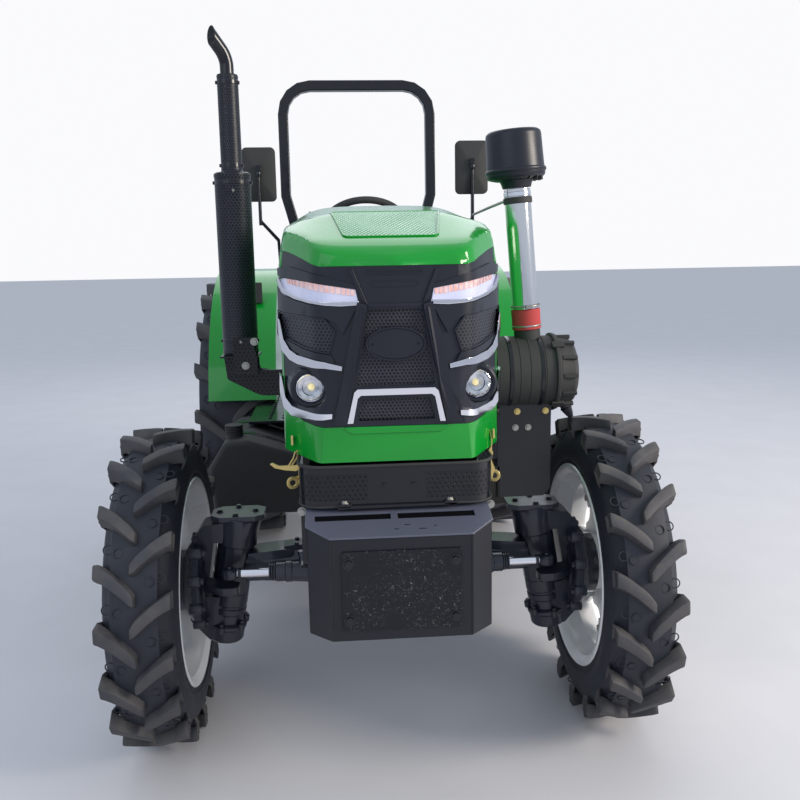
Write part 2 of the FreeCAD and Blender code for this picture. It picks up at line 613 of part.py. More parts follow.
def intake_axis(z):
    """The point of the leaning intake stack's axis at height z."""
    return (INTAKE_FOOT_X - (z - CLEANER_Z) * INTAKE_LEAN, 0, z)


def make_intake():
    """Air cleaner lying across the frame, its bracket, and the leaning intake stack with a bowl on top."""
    z, x0, r = CLEANER_Z, CLEANER_INNER_X, CLEANER_R
    body = stack([(x0, r), (x0 + 186, r), (x0 + 186, r + 6), (x0 + 204, r + 6), (x0 + 204, r - 6), (x0 + 256, r - 18),
                  (x0 + 264, r - 34)], (0, 0, z), (1, 0, z), 20)
    spout = bar(intake_axis(z), intake_axis(z + 136), INTAKE_R, 16)
    valve = stack([(0, 17), (30, 17), (62, 8)], (x0 + 226, 0, z - 84), (x0 + 266, 0, z - 184), 10)
    write("air_cleaner", fuse([body, spout, valve]))
    left, right = x0 + 18, x0 + 180
    plate = front_prism([(left, z - 106), (left, 740), (right - 24, 740), (right, 766), (right, z - 106)], -64, -58)
    cradle = box(left, right, -64, 64, z - 126, z - 106).cut(bar((x0, 0, z), (x0 + 300, 0, z), r + FIT_GAP, 20))
    arm = box(FRAME_HALF, left, -64, 40, 790, 840)
    write("cleaner_bracket", fuse([plate, cradle, arm, box(left - 6, left, -64, 40, 790, z - 118)]))
    write("intake_sleeve", bar(intake_axis(z + 136 + FIT_GAP), intake_axis(z + 200), INTAKE_R + 4, 16))
    write("intake_pipe", bar(intake_axis(z + 200 + FIT_GAP), intake_axis(z + 564), INTAKE_R, 16))
    bowl = [(1, 44), (22, 44), (22, 66), (40, 92), (48, 86), (160, 79), (168, 70)]
    write("pre_cleaner", stack(bowl, intake_axis(z + 564), intake_axis(z + 900), 20))


# Tank, battery box, platform

def make_side_boxes():
    """Plastic fuel tank on the right, battery box on the left, their shelves, and the platform with its steps."""
    front, rear = ENGINE_REAR_Y + 20, WHEELBASE - 900
    tank = front_prism([(-250, SHELF_Z), (-640, SHELF_Z, 30), (-655, 690, 50), (-590, 796, 40), (-500, 800, 60),
                        (-250, 716)], front, rear)
    neck = [(-10, 30), (14, 30), (14, 36), (44, 36)]
    write("fuel_tank", fuse([tank, stack(neck, (-560, 720, 800), (-560, 720, 900), 16)]))
    box_rear = rear - 150
    write("battery_box", fuse([box(250, 610, front + 20, box_rear, SHELF_Z, 770),
                               box(244, 616, front + 14, box_rear + 6, 770, 784)]))
    start, step_y = front + 260, rear + 20
    under = FLOOR_Z - FLOOR_THICK
    floor = plan_prism([(GEARBOX_HALF, start), (520, start), (520, step_y + 160), (430, step_y + 230),
                        (430, CASE_FRONT_Y), (GEARBOX_HALF, CASE_FRONT_Y)], under, FLOOR_Z)
    tread = box(440, 640, step_y, step_y + 160, 420, 432)
    legs = [box(440, 480, y, y + 8, 432, under) for y in (step_y, step_y + 152)]
    middle = (front + rear) / 2
    shelves = [box(GEARBOX_HALF, 600, y, y + 40, SHELF_Z - 30, SHELF_Z) for y in (middle - 45, middle + 65)]
    write("platform", both(fuse([floor, tread] + legs)) + both(shelves[0]) + both(shelves[1]))


def fender_arc(radius):
    """Points along an arc of the fender, seen from the side, from its front end over the top to its rear end."""
    front = 180 - math.degrees(math.asin((FLOOR_Z + 15 - REAR_WHEEL["radius"]) / FENDER_R))
    angles = [math.radians(front - (front - 28) * k / FENDER_STEPS) for k in range(FENDER_STEPS + 1)]
    return [(WHEELBASE + radius * math.cos(a), REAR_WHEEL["radius"] + radius * math.sin(a)) for a in angles]


def make_fenders():
    """Two fenders over the rear tyres: a curved top, an upright inner wall and a turned-down outer lip."""
    inner_x, outer_x = 432, 745
    radius = FENDER_R
    top = fender_arc(radius)
    crown = side_prism(top + fender_arc(radius - 5)[::-1], inner_x, outer_x)
    lip = side_prism(top + fender_arc(radius - 50)[::-1], outer_x - 5, outer_x)
    wall = side_prism(top + [(top[-1][0], FLOOR_Z), (top[0][0], FLOOR_Z)], inner_x, inner_x + 5)
    hole = stack([(inner_x - 10, 180), (inner_x + 20, 180)], (0, WHEELBASE, REAR_WHEEL["radius"]),
                 (1, WHEELBASE, REAR_WHEEL["radius"]), 16)
    write("fenders", both(fuse([crown, lip, wall.cut(hole)])))


# Driver's place

def make_console():
    """Dashboard cowl, steering column, steering wheel and pedals' cover plate."""
    face_y = HINGE_Y + 42
    cowl = side_prism([(face_y, FLOOR_Z), (face_y, 1550, 40), (900, 1690, 40), (1050, 1600, 40), (1060, 1400, 60),
                       (980, 1200, 60), (980, FLOOR_Z)], -240, 240).cut(gearbox_shape())
    ear = side_prism([(HINGE_Y - 14, HINGE_Z - 14, 8), (HINGE_Y - 14, HINGE_Z + 14, 8), (face_y + 40, HINGE_Z + 14),
                      (face_y + 40, HINGE_Z - 40)], 130, 144)
    pin = rod((-170, HINGE_Y, HINGE_Z), (170, HINGE_Y, HINGE_Z), HINGE_R)
    write("console", fuse([cowl, pin] + both(ear)))
    tilt = math.radians(WHEEL_TILT)
    hub = V(*WHEEL_HUB)
    axis = V(0, math.sin(tilt), math.cos(tilt))
    foot = hub - axis * 385
    column = stack([(0, 28), (385 - 20 - RUNNING_GAP, 28)], tuple(foot), tuple(hub), 14)
    write("steering_column", column.cut(cowl))
    section = [(188 + 15 * math.cos(math.radians(a)), 15 * math.sin(math.radians(a))) for a in range(0, 360, 60)]
    ring = turned(section, WHEEL_HUB, tuple(axis), 24)
    boss = stack([(-20, 34), (4, 40), (12, 30)], WHEEL_HUB, tuple(hub + axis), 12)
    spokes = []
    for turn in (90, 210, 330):
        spoke = box(30, 180, -12, 12, -8, 2)
        spoke.rotate(V(0, 0, 0), Z_AXIS, turn)
        spoke.rotate(V(0, 0, 0), X_AXIS, -WHEEL_TILT)
        spoke.translate(hub)
        spokes.append(spoke)
    write("steering_wheel", fuse([ring, boss] + spokes))


def make_levers():
    """Gear levers beside the seat and three pedals, each fixed where it rests."""
    levers = []
    for x, y in ((-205, SEAT_Y - 160), (-232, SEAT_Y - 100), (205, SEAT_Y - 220)):
        side = -1 if x < 0 else 1
        stick = stack([(0, 7), (230, 7), (230, 17), (262, 17)], (x, y, FLOOR_Z + 1.5),
                      (x + side * 20, y - 40, FLOOR_Z + 250), 10)
        levers.append(stick)
    pedals = []
    for x in (-205, 190, 232):
        stem = side_prism([(980, 980), (1000, 990), (1090, 900), (1080, 890)], x - 8, x + 8)
        pad = side_prism([(1068, 880), (1076, 874), (1120, 916), (1112, 924)], x - 20, x + 20)
        pedals.append(fuse([stem, pad]))
    write("controls", levers + pedals)


def make_seat():
    """Seat on its box above the gearbox."""
    y, z = SEAT_Y, SEAT_Z
    base = fuse([box(-160, 160, y, y + 210, CASE_TOP_Z, z - 30), box(-190, 190, y - 60, y + 240, z - 30, z - FIT_GAP)])
    write("seat_base", base)
    cushion = side_prism([(y - 190, z, 20), (y - 210, z + 100, 40), (y + 210, z + 109), (y + 280, z + 109, 20),
                          (y + 270, z, 20)], -235, 235)
    foot = z + 109 + FIT_GAP
    back = side_prism([(y + 210, foot, 20), (y + 260, foot + 360, 28), (y + 322, foot + 360, 26), (y + 305, foot, 20)],
                      -230, 230)
    write("seat_pads", [cushion, back])


def make_rollbar():
    """Two-post rollbar of rectangular tube, bent in towards the axle under the driver's shoulders."""
    y0, y1 = ROLLBAR_Y, ROLLBAR_Y + 60
    outer_x, top_z, corner, tube = 416, ROLLBAR_TOP_Z, 170, 52
    bend_z = top_z - 594
    foot_z = PAD_TOP_Z + 12
    outside = [(outer_x, top_z, corner), (outer_x, bend_z), (290, 1340), (290, foot_z)]
    inside = [(outer_x - tube, top_z - tube, corner - tube), (outer_x - tube, bend_z + 7), (290 - tube, 1347),
              (290 - tube, foot_z - 6)]
    hoop = front_prism(across(outside), y0, y1).cut(front_prism(across(inside), y0 - 5, y1 + 5))
    feet = both(box(200, 330, y0 - 20, y1 + 20, PAD_TOP_Z, foot_z))
    write("rollbar", fuse([hoop] + feet))


def make_mirrors():
    """Two mirrors on bent flat bars beside the dashboard."""
    arms = []
    heads = []
    for side, top_z in ((-1, 1830), (1, 1850)):
        left = [(240, 1320), (366, 1320), (376, 1560), (446, 1640), (446, top_z), (434, top_z), (434, 1646),
                (364, 1568), (354, 1332), (240, 1332)]
        arms.append(front_prism([(side * x, z) for x, z in left], 976, 994))
        outside = [(side * x, z, 16) for x, z in ((372, top_z - 108), (508, top_z - 108), (508, top_z + 108),
                                                   (372, top_z + 108))]
        heads.append(front_prism(outside, 994 + FIT_GAP, 1018))
    write("mirror_arms", arms)
    write("mirror_heads", heads)


# Rear linkage

def make_hitch():
    """Lower links, lift arms, lift rods, drawbar and power take-off."""
    share = ARM_LENGTH / (LINK_END_Y - LINK_Y)
    arm_x = LINK_X + (LINK_END_X - LINK_X) * share
    link = plan_prism([(LINK_X - 12, LINK_Y), (LINK_X + 12, LINK_Y), (LINK_END_X + 12, LINK_END_Y),
                      (LINK_END_X - 12, LINK_END_Y)], LINK_Z - 28, LINK_Z + 28)
    eye = stack([(-14, 34), (14, 34)], (LINK_X, LINK_Y, LINK_Z), (1000, LINK_Y, LINK_Z), 12)
    ball = stack([(-22, 24), (-14, 30), (14, 30), (22, 24)], (LINK_END_X, LINK_END_Y, LINK_Z),
                 (1000, LINK_END_Y, LINK_Z), 12)
    hole = rod((LINK_END_X - 30, LINK_END_Y, LINK_Z), (LINK_END_X + 30, LINK_END_Y, LINK_Z), 14.35)
    write("lower_links", both(fuse([link, eye, ball]).cut(hole)))
    arm = side_prism([(LINK_Y - 34, ROCK_Z - 40), (LINK_Y - 34, ROCK_Z + 40), (LINK_Y + ARM_LENGTH, ROCK_Z + 24),
                      (LINK_Y + ARM_LENGTH + 20, ROCK_Z), (LINK_Y + ARM_LENGTH, ROCK_Z - 24)], arm_x - 12, arm_x + 12)
    rod_x, rod_y = arm_x + 32, LINK_Y + ARM_LENGTH
    boss = bar((arm_x, rod_y, ROCK_Z), (rod_x - 13 - RUNNING_GAP, rod_y, ROCK_Z), 16, 12)
    write("lift_arms", both(fuse([arm, boss])))
    strut = stack([(LINK_Z, 12), (LINK_Z + 190, 12), (LINK_Z + 190, 19), (LINK_Z + 340, 19), (LINK_Z + 340, 12),
                   (ROCK_Z, 12)], (rod_x, rod_y, 0), (rod_x, rod_y, 1), 12)
    eyes = [stack([(-13, 24), (13, 24)], (rod_x, rod_y, z), (1000, rod_y, z), 12) for z in (LINK_Z, ROCK_Z)]
    write("lift_rods", both(fuse([strut] + eyes)))
    front, rear = WHEELBASE - 150, WHEELBASE + 710
    hole_y = rear - 45
    tongue = plan_prism([(-40, front), (40, front), (40, rear, 38), (-40, rear, 38)], DRAWBAR_TOP_Z - 28, DRAWBAR_TOP_Z)
    write("drawbar", tongue.cut(rod((0, hole_y, DRAWBAR_TOP_Z - 40), (0, hole_y, DRAWBAR_TOP_Z + 10), 15)))
    pto_y = WHEELBASE + 280
    write("pto_shaft", bar((0, pto_y + RUNNING_GAP, PTO_Z), (0, pto_y + 80, PTO_Z), 17.5, 20))


def main():
    """Builds and writes every node."""
    os.makedirs("parts", exist_ok=True)
    make_wheels()
    make_steering()
    make_knuckles()
    make_chassis()
    make_rear_axle()
    make_nose()
    make_hood()
    make_exhaust()
    make_intake()
    make_side_boxes()
    make_fenders()
    make_console()
    make_levers()
    make_seat()
    make_rollbar()
    make_mirrors()
    make_hitch()


main()
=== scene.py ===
"""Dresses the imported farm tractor: bodywork, tyres, castings, lamps, seat and their finishes.

Metres, +Z up, the nose points along -Y and +X is the tractor's own left side. Pieces are drawn with the
front axle at Y = 0, as in the part's source, and moved by SHIFT when they are finished.
"""

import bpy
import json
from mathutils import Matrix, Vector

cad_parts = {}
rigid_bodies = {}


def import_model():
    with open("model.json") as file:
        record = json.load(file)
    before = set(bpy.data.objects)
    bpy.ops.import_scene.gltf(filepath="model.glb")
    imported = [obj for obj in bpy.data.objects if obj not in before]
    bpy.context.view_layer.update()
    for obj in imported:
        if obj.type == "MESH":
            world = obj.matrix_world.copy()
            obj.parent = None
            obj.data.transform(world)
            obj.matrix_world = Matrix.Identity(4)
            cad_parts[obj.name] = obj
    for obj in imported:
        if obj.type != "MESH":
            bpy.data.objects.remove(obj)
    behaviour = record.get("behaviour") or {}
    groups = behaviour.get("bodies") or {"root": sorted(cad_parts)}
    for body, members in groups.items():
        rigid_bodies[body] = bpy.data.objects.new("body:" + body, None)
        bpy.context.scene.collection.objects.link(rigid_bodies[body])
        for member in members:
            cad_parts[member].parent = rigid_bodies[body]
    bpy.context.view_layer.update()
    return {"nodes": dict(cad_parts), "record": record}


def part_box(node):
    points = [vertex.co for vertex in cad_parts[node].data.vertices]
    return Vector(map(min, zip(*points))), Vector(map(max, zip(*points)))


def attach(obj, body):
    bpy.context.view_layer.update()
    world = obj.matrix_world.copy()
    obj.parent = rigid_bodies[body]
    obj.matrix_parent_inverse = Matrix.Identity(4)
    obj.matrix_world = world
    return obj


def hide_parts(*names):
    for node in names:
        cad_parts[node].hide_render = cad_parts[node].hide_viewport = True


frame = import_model()

import json
import logging
import math
from dataclasses import dataclass
from enum import Enum
from typing import Callable, Iterable, Optional, Sequence

import bmesh
import bpy
from mathutils import Matrix, Vector

LOG = logging.getLogger("tractor")
Point2 = tuple[float, float]
Point3 = tuple[float, float, float]


def middle(node: str, axis: int) -> float:
    """Returns the middle of a node's box along one axis."""
    low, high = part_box(node)
    return (low[axis] + high[axis]) / 2


def clamp(value: float) -> float:
    """Returns a value kept between 0 and 1."""
    return min(max(value, 0.0), 1.0)


SHIFT = Vector((0, middle("front_tyre_left", 1), 0))
FRONT_R = middle("front_tyre_left", 2)
REAR_R = middle("rear_tyre_left", 2)
WHEELBASE = middle("rear_tyre_left", 1) - SHIFT.y
TRACK_FRONT = middle("front_tyre_left", 0)
TRACK_REAR = middle("rear_tyre_left", 0)
FLOOR_Z = REAR_R + 0.141
UP = Vector((0, 0, 1))
MERGE = 1e-5
PLANE_MERGE = 1e-6
NOSE_BEND_Z = 1.354
NOSE_FACE_Y = -0.56
NOSE_SLOPE = 0.04 / 0.37


# Materials


class Recipe:
    """A material's node tree, with short calls to add and join nodes."""

    def __init__(self, name: str) -> None:
        """Starts a material with its Principled shader."""
        self.material = bpy.data.materials.new(name)
        self.material.use_nodes = True
        self.tree = self.material.node_tree
        self.shader = self.tree.nodes["Principled BSDF"]
        self.where: Optional[bpy.types.NodeSocket] = None
        self.surface: Optional[bpy.types.Node] = None
        self.bump: Optional[bpy.types.Node] = None

    def add(self, kind: str, **settings) -> bpy.types.Node:
        """Adds a node, as add_node does."""
        return add_node(self.tree, kind, **settings)

    def shade(self, **values) -> None:
        """Sets or links the shader's inputs, with spaces written as underscores."""
        give(self.shader, values)

    def place(self, group: bpy.types.NodeTree, **values) -> bpy.types.Node:
        """Places a node group and sets the inputs that are named.

        Args:
            group: the shared effect.
            values: one value or socket for each input, with spaces written as underscores.

        Returns:
            The group's node.
        """
        node = self.add("Group", node_tree=group)
        give(node, values)
        return node


def give(node: bpy.types.Node, values: dict) -> None:
    """Sets or links a node's inputs.

    Args:
        node: the node.
        values: a value or a socket for each input, by its index or by its name with underscores for spaces.
    """
    for key, value in values.items():
        socket = node.inputs[key.replace("_", " ") if isinstance(key, str) else key]
        if isinstance(value, bpy.types.NodeSocket):
            node.id_data.links.new(value, socket)
        else:
            socket.default_value = value


def add_node(tree: bpy.types.NodeTree, kind: str, inputs: Sequence = (), named: Optional[dict] = None,
             **settings) -> bpy.types.Node:
    """Adds a shader node to a tree.

    Args:
        tree: the material's or group's tree.
        kind: the node's type, without its ShaderNode prefix.
        inputs: values or sockets for its first inputs.
        named: values or sockets for inputs by name or index.
        settings: properties of the node.

    Returns:
        The new node.
    """
    node = tree.nodes.new("ShaderNode" + kind)
    for key, value in settings.items():
        setattr(node, key, value)
    give(node, dict(enumerate(inputs)))
    give(node, named or {})
    return node


def blend(tree: bpy.types.NodeTree, factor: bpy.types.NodeSocket, first: object,
          second: object) -> bpy.types.NodeSocket:
    """Mixes two colours.

    Args:
        tree: the material's or group's tree.
        factor: the share of the second colour.
        first: a colour or a socket.
        second: a colour or a socket.

    Returns:
        The socket of the mixed colour.
    """
    node = add_node(tree, "Mix", data_type="RGBA", named={0: factor, 6: first, 7: second})
    return node.outputs[2]


def math_node(tree: bpy.types.NodeTree, operation: str, *inputs) -> bpy.types.NodeSocket:
    """Adds a sum on numbers and returns its result."""
    return add_node(tree, "Math", inputs, operation=operation).outputs[0]


def vector_node(tree: bpy.types.NodeTree, operation: str, *inputs) -> bpy.types.NodeSocket:
    """Adds a sum on vectors and returns its result."""
    node = add_node(tree, "VectorMath", inputs, operation=operation)
    return node.outputs["Value" if operation == "LENGTH" else 0]


def map_range(tree: bpy.types.NodeTree, *inputs) -> bpy.types.NodeSocket:
    """Maps a value from one range to another: value, from low, from high, to low, to high."""
    return add_node(tree, "MapRange", inputs).outputs[0]


class Effect(Enum):
    """The shader groups that several materials share."""

    SURFACE = "surface"
    HOLES = "holes"
    STREAKS = "streaks"


def new_group(
        effect: Effect, inputs: Sequence[tuple[str, str]],
        outputs: Sequence[tuple[str, str]]) -> tuple[bpy.types.NodeTree, bpy.types.Node, bpy.types.Node]:
    """Starts a shader node group.

    Args:
        effect: which shared effect it is.
        inputs: the name and kind of each input.
        outputs: the name and kind of each output.

    Returns:
        The group, its input node and its output node.
    """
    tree = bpy.data.node_groups.new(effect.value, "ShaderNodeTree")
    for in_out, sockets in (("INPUT", inputs), ("OUTPUT", outputs)):
        for name, kind in sockets:
            tree.interface.new_socket(name=name, in_out=in_out, socket_type="NodeSocket" + kind)
    return tree, tree.nodes.new("NodeGroupInput"), tree.nodes.new("NodeGroupOutput")


def surface_group() -> bpy.types.NodeTree:
    """Builds the effect that every solid finish uses: mottled colour, settled dust, uneven gloss and grain.

    Returns:
        The node group, with outputs Color, Roughness and Height.
    """
    inputs = [("Vector", "Vector"), ("Color", "Color"), ("Shade", "Color"), ("Dust Color", "Color")]
    inputs += [(name, "Float") for name in (
        "Mottle Scale", "Mottle", "Dust", "Roughness", "Unevenness", "Grain Scale")]
    outputs = [("Color", "Color"), ("Roughness", "Float"), ("Height", "Float")]
    tree, given, out = new_group(Effect.SURFACE, inputs, outputs)
    ask = given.outputs
    broad = add_node(
        tree, "TexNoise", named={"Vector": ask["Vector"], "Scale": ask["Mottle Scale"], "Detail": 5})
    spread = map_range(tree, broad.outputs["Fac"], 0.35, 0.65, 0.0, 1.0)
    tone = blend(tree, math_node(tree, "MULTIPLY", spread, ask["Mottle"]), ask["Color"], ask["Shade"])
    fine = add_node(
        tree, "TexNoise", named={"Vector": ask["Vector"], "Scale": ask["Grain Scale"], "Detail": 3})
    normal = add_node(tree, "NewGeometry").outputs["Normal"]
    upward = map_range(tree, add_node(tree, "SeparateXYZ", [normal]).outputs["Z"], -0.3, 1.0, 0.25, 1.0)
    patchy = math_node(tree, "MULTIPLY", upward, spread)
    settled = math_node(tree, "MULTIPLY", patchy, ask["Dust"])
    swing = map_range(tree, broad.outputs["Fac"], 0.3, 0.7, -0.5, 0.5)
    uneven = math_node(tree, "MULTIPLY_ADD", swing, ask["Unevenness"], ask["Roughness"])
    give(out, {"Color": blend(tree, settled, tone, ask["Dust Color"]), "Roughness": uneven,
               "Height": fine.outputs["Fac"]})
    return tree


def holes_group() -> bpy.types.NodeTree:
    """Builds the pattern of punched holes: staggered rows of round holes over a plane.

    Returns:
        The node group, whose output Mask is 1 in a hole.
    """
    tree, given, out = new_group(
        Effect.HOLES, [("Vector", "Vector"), ("Pitch", "Float"), ("Radius", "Float")], [("Mask", "Float")])
    ask = given.outputs
    tall = math_node(tree, "MULTIPLY", ask["Pitch"], math.sqrt(3))
    cell = add_node(tree, "CombineXYZ", [ask["Pitch"], tall, 1])
    scaled = vector_node(tree, "DIVIDE", ask["Vector"], cell.outputs[0])
    distances = []
    for stagger in (0.0, 0.5):
        moved = vector_node(tree, "ADD", scaled, (stagger, stagger, 0))
        centred = vector_node(tree, "SUBTRACT", vector_node(tree, "FRACTION", moved), (0.5, 0.5, 0))
        evened = vector_node(tree, "MULTIPLY", centred, (1, math.sqrt(3), 0))
        distances.append(vector_node(tree, "LENGTH", evened))
    inside = math_node(tree, "SUBTRACT", ask["Radius"], math_node(tree, "MINIMUM", *distances))
    give(out, {"Mask": map_range(tree, inside, -0.04, 0.04, 0.0, 1.0)})
    return tree


def streaks_group() -> bpy.types.NodeTree:
    """Builds scattered scuffs: thin broken patches where a coat is rubbed.

    Returns:
        The node group, whose output Mask is 1 on a scuff.
    """
    tree, given, out = new_group(
        Effect.STREAKS, [("Vector", "Vector"), ("Scale", "Float"), ("Amount", "Float")], [("Mask", "Float")])
    ask = given.outputs
    where = add_node(tree, "TexNoise", named={"Vector": ask["Vector"], "Scale": 7, "Detail": 3})
    flecks = add_node(tree, "TexNoise", named={
        "Vector": ask["Vector"], "Scale": ask["Scale"], "Detail": 6, "Roughness": 0.75, "Distortion": 1.5})
    thin = map_range(tree, flecks.outputs["Fac"], 0.58, 0.66, 0.0, 1.0)
    zone = map_range(tree, where.outputs["Fac"], 0.4, 0.54, 0.0, 1.0)
    both = math_node(tree, "MULTIPLY", thin, zone)
    give(out, {"Mask": math_node(tree, "MULTIPLY", both, ask["Amount"])})
    return tree


GROUP_MAKERS: dict[Effect, Callable[[], bpy.types.NodeTree]] = {
    Effect.SURFACE: surface_group, Effect.HOLES: holes_group, Effect.STREAKS: streaks_group}


def group_of(effect: Effect) -> bpy.types.NodeTree:
    """Returns a shared effect's group, built on first use."""
    return bpy.data.node_groups.get(effect.value) or GROUP_MAKERS[effect]()


@dataclass(frozen=True)
class Finish:
    """A solid finish: paint, plastic, rubber or bare metal.

    Colours are linear. dust is the share of settled dust, grain the bump's depth in metres.
    """

    name: str
    color: Point3
    shade: Point3
    roughness: float = 0.4
    metallic: float = 0.0
    coat: float = 0.0
    mottle: float = 0.5
    mottle_scale: float = 6.0
    dust: float = 0.06
    dust_color: Point3 = (0.2, 0.2, 0.22)
    unevenness: float = 0.12
    grain_scale: float = 900.0
    grain: float = 0.0001
    specular: float = 0.5

    def build(self) -> bpy.types.Material:
        """Returns the material, built on first use."""
        return bpy.data.materials.get(self.name) or self.make().material

    def make(self) -> Recipe:
        """Builds the shader: a surface group feeds colour, roughness and bump.

        Returns:
            The recipe, for a finish that adds to it.
        """
        recipe = Recipe(self.name)
        recipe.where = recipe.add("TexCoord").outputs["Object"]
        recipe.surface = recipe.place(
            group_of(Effect.SURFACE), Vector=recipe.where, Color=(*self.color, 1), Shade=(*self.shade, 1),
            Mottle_Scale=self.mottle_scale, Mottle=self.mottle, Dust_Color=(*self.dust_color, 1),
            Dust=self.dust, Roughness=self.roughness, Unevenness=self.unevenness,
            Grain_Scale=self.grain_scale)
        given = recipe.surface.outputs
        recipe.bump = recipe.add("Bump", named={"Distance": self.grain, "Height": given["Height"]})
        recipe.shade(Base_Color=given["Color"], Roughness=given["Roughness"],
                     Normal=recipe.bump.outputs["Normal"], Metallic=self.metallic, Coat_Weight=self.coat,
                     Coat_Roughness=0.06, Specular_IOR_Level=self.specular)
        return recipe


class Plane(Enum):
    """The plane that a pattern of holes is laid out on."""

    FRONT = "front"
    TOP = "top"
    MAP = "map"


@dataclass(frozen=True)
class Punched(Finish):
    """A finish with rows of small holes, which show what is dark behind the sheet."""

    pitch: float = 0.008
    hole: float = 0.34
    plane: Plane = Plane.FRONT
    behind: Point3 = (0.004, 0.004, 0.004)

    def make(self) -> Recipe:
        """Adds the holes' colour and depth to the plain finish."""
        recipe = Finish.make(self)
        if self.plane is Plane.MAP:
            where = recipe.add("TexCoord").outputs["UV"]
        else:
            parts = recipe.add("SeparateXYZ", inputs=[recipe.where]).outputs
            second = parts["Z" if self.plane is Plane.FRONT else "Y"]
            where = recipe.add("CombineXYZ", inputs=[parts["X"], second]).outputs[0]
        holes = recipe.place(group_of(Effect.HOLES), Vector=where, Pitch=self.pitch, Radius=self.hole)
        mask = holes.outputs["Mask"]
        depth = recipe.add("Bump", invert=True, named={
            "Distance": 0.002, "Height": mask, "Normal": recipe.bump.outputs["Normal"]})
        tone = blend(recipe.tree, mask, recipe.surface.outputs["Color"], (*self.behind, 1))
        recipe.shade(Base_Color=tone, Normal=depth.outputs["Normal"])
        return recipe


@dataclass(frozen=True)
class Scuffed(Finish):
    """A coat that is rubbed through in patches."""

    scuff_color: Point3 = (0.32, 0.31, 0.3)
    scuff_scale: float = 120.0
    amount: float = 0.6

    def make(self) -> Recipe:
        """Adds the scuffs' colour to the plain finish."""
        recipe = Finish.make(self)
        scuffs = recipe.place(
            group_of(Effect.STREAKS), Vector=recipe.where, Scale=self.scuff_scale, Amount=self.amount)
        recipe.shade(Base_Color=blend(
            recipe.tree, scuffs.outputs["Mask"], recipe.surface.outputs["Color"], (*self.scuff_color, 1)))
        return recipe


@dataclass(frozen=True)
class Glowing(Finish):
    """A lens with a faint light of its own."""

    glow: Point3 = (1.0, 1.0, 1.0)
    strength: float = 0.4

    def make(self) -> Recipe:
        """Adds the light to the plain finish."""
        recipe = Finish.make(self)
        recipe.shade(Emission_Color=(*self.glow, 1), Emission_Strength=self.strength)
        return recipe


GREEN = Finish("hood_green", (0.0, 0.28, 0.022), (0.0, 0.23, 0.017), 0.22, coat=0.6, mottle=0.25, dust=0.01,
               unevenness=0.05, grain=0.00002, specular=0.25)
# Pale green: the sheet's green paint lightened by a painted highlight that stands in for the sheen between
# its holes.
GREEN_SHEET_SHEEN = Punched("green_mesh_painted_sheen", (0.34, 0.7, 0.42), (0.24, 0.62, 0.32), 0.3, pitch=0.011, hole=0.34,
                      plane=Plane.TOP, behind=(0.0, 0.1, 0.02), specular=0.4)
SATIN = Finish("satin_black", (0.0114, 0.0138, 0.024), (0.0072, 0.009, 0.0156), 0.36, dust=0.03,
               grain=0.00004, specular=0.4)
MESH = Punched("grille_mesh", (0.0351, 0.03861, 0.05441), (0.02457, 0.02633, 0.03861), 0.42, pitch=0.0095,
               hole=0.33, specular=0.4)
CASTING = Finish("blue_black_casting", (0.012, 0.01575, 0.0315), (0.0075, 0.00975, 0.0195), 0.36, coat=0.35,
                 mottle=0.7, dust=0.04, grain_scale=260, grain=0.0006)
GLOSS_BLACK = Finish("gloss_black", (0.00495, 0.00605, 0.01045), (0.0033, 0.00385, 0.0066), 0.24, coat=0.3,
                     dust=0.03, grain=0.00003, specular=0.35)
COARSE = Finish("orange_peel_black", (0.0095, 0.0105, 0.0165), (0.0055, 0.006, 0.01), 0.36, dust=0.05,
                grain_scale=330, grain=0.0005, specular=0.4)
# A lighter, bluish black than the box body: real settled dust plus a painted skylight reflection on the top
# face.
LID_SKYLIT = Finish("dusty_black_painted_skylight", (0.09113, 0.09659, 0.1368), (0.06197, 0.06561, 0.09842), 0.34, coat=0.3,
             dust=0.15, grain_scale=330, grain=0.0004)
# A near-black sheet laid where only shade shows: painted shadow.
SHADOW = Finish("painted_shadow", (0.002, 0.002, 0.003), (0.001, 0.001, 0.002), 0.8, dust=0.0, specular=0.1)
SCUFFED = Scuffed("scuffed_black", (0.0055, 0.006, 0.01), (0.0033, 0.0038, 0.006), 0.34, dust=0.02,
                  grain_scale=400, grain=0.0003, specular=0.35)
PLASTIC = Finish("black_plastic", (0.0105, 0.01275, 0.02175), (0.0075, 0.009, 0.015), 0.34, coat=0.25,
                 dust=0.02, grain_scale=1400, grain=0.00003, specular=0.4)
BAND = Punched("punched_band", (0.00605, 0.00715, 0.01155), (0.0044, 0.00495, 0.0077), 0.26, pitch=0.0136,
               hole=0.16, behind=(0.001, 0.001, 0.001), specular=0.4)
SHIELD = Punched("punched_shield", (0.02, 0.023, 0.038), (0.014, 0.016, 0.027), 0.34, pitch=0.0098,
                 hole=0.33, plane=Plane.MAP, behind=(0.001, 0.001, 0.002), specular=0.4)
RIM = Finish("rim_white", (0.9, 0.9, 0.9), (0.84, 0.84, 0.84), 0.3, coat=0.4, mottle=0.4, dust=0.06)
RUBBER = Finish("tyre_rubber", (0.012, 0.01425, 0.024), (0.021, 0.02325, 0.033), 0.55, dust=0.12,
                dust_color=(0.13, 0.13, 0.14), grain_scale=500, grain=0.0005, unevenness=0.2)
TREAD = Finish("worn_tread", (0.042, 0.042, 0.05), (0.07, 0.064, 0.064), 0.6, mottle=0.8, mottle_scale=14,
               dust=0.2, dust_color=(0.2, 0.18, 0.16), grain_scale=420, grain=0.0006, unevenness=0.2)
STEEL = Finish("polished_steel", (0.88, 0.88, 0.9), (0.8, 0.8, 0.82), 0.1, metallic=1.0, dust=0.01,
               unevenness=0.05, grain=0.00001)
CHROME = Finish("trim_chrome", (0.88, 0.88, 0.93), (0.8, 0.8, 0.88), 0.09, metallic=1.0, dust=0.01,
                unevenness=0.05, grain=0.00001)
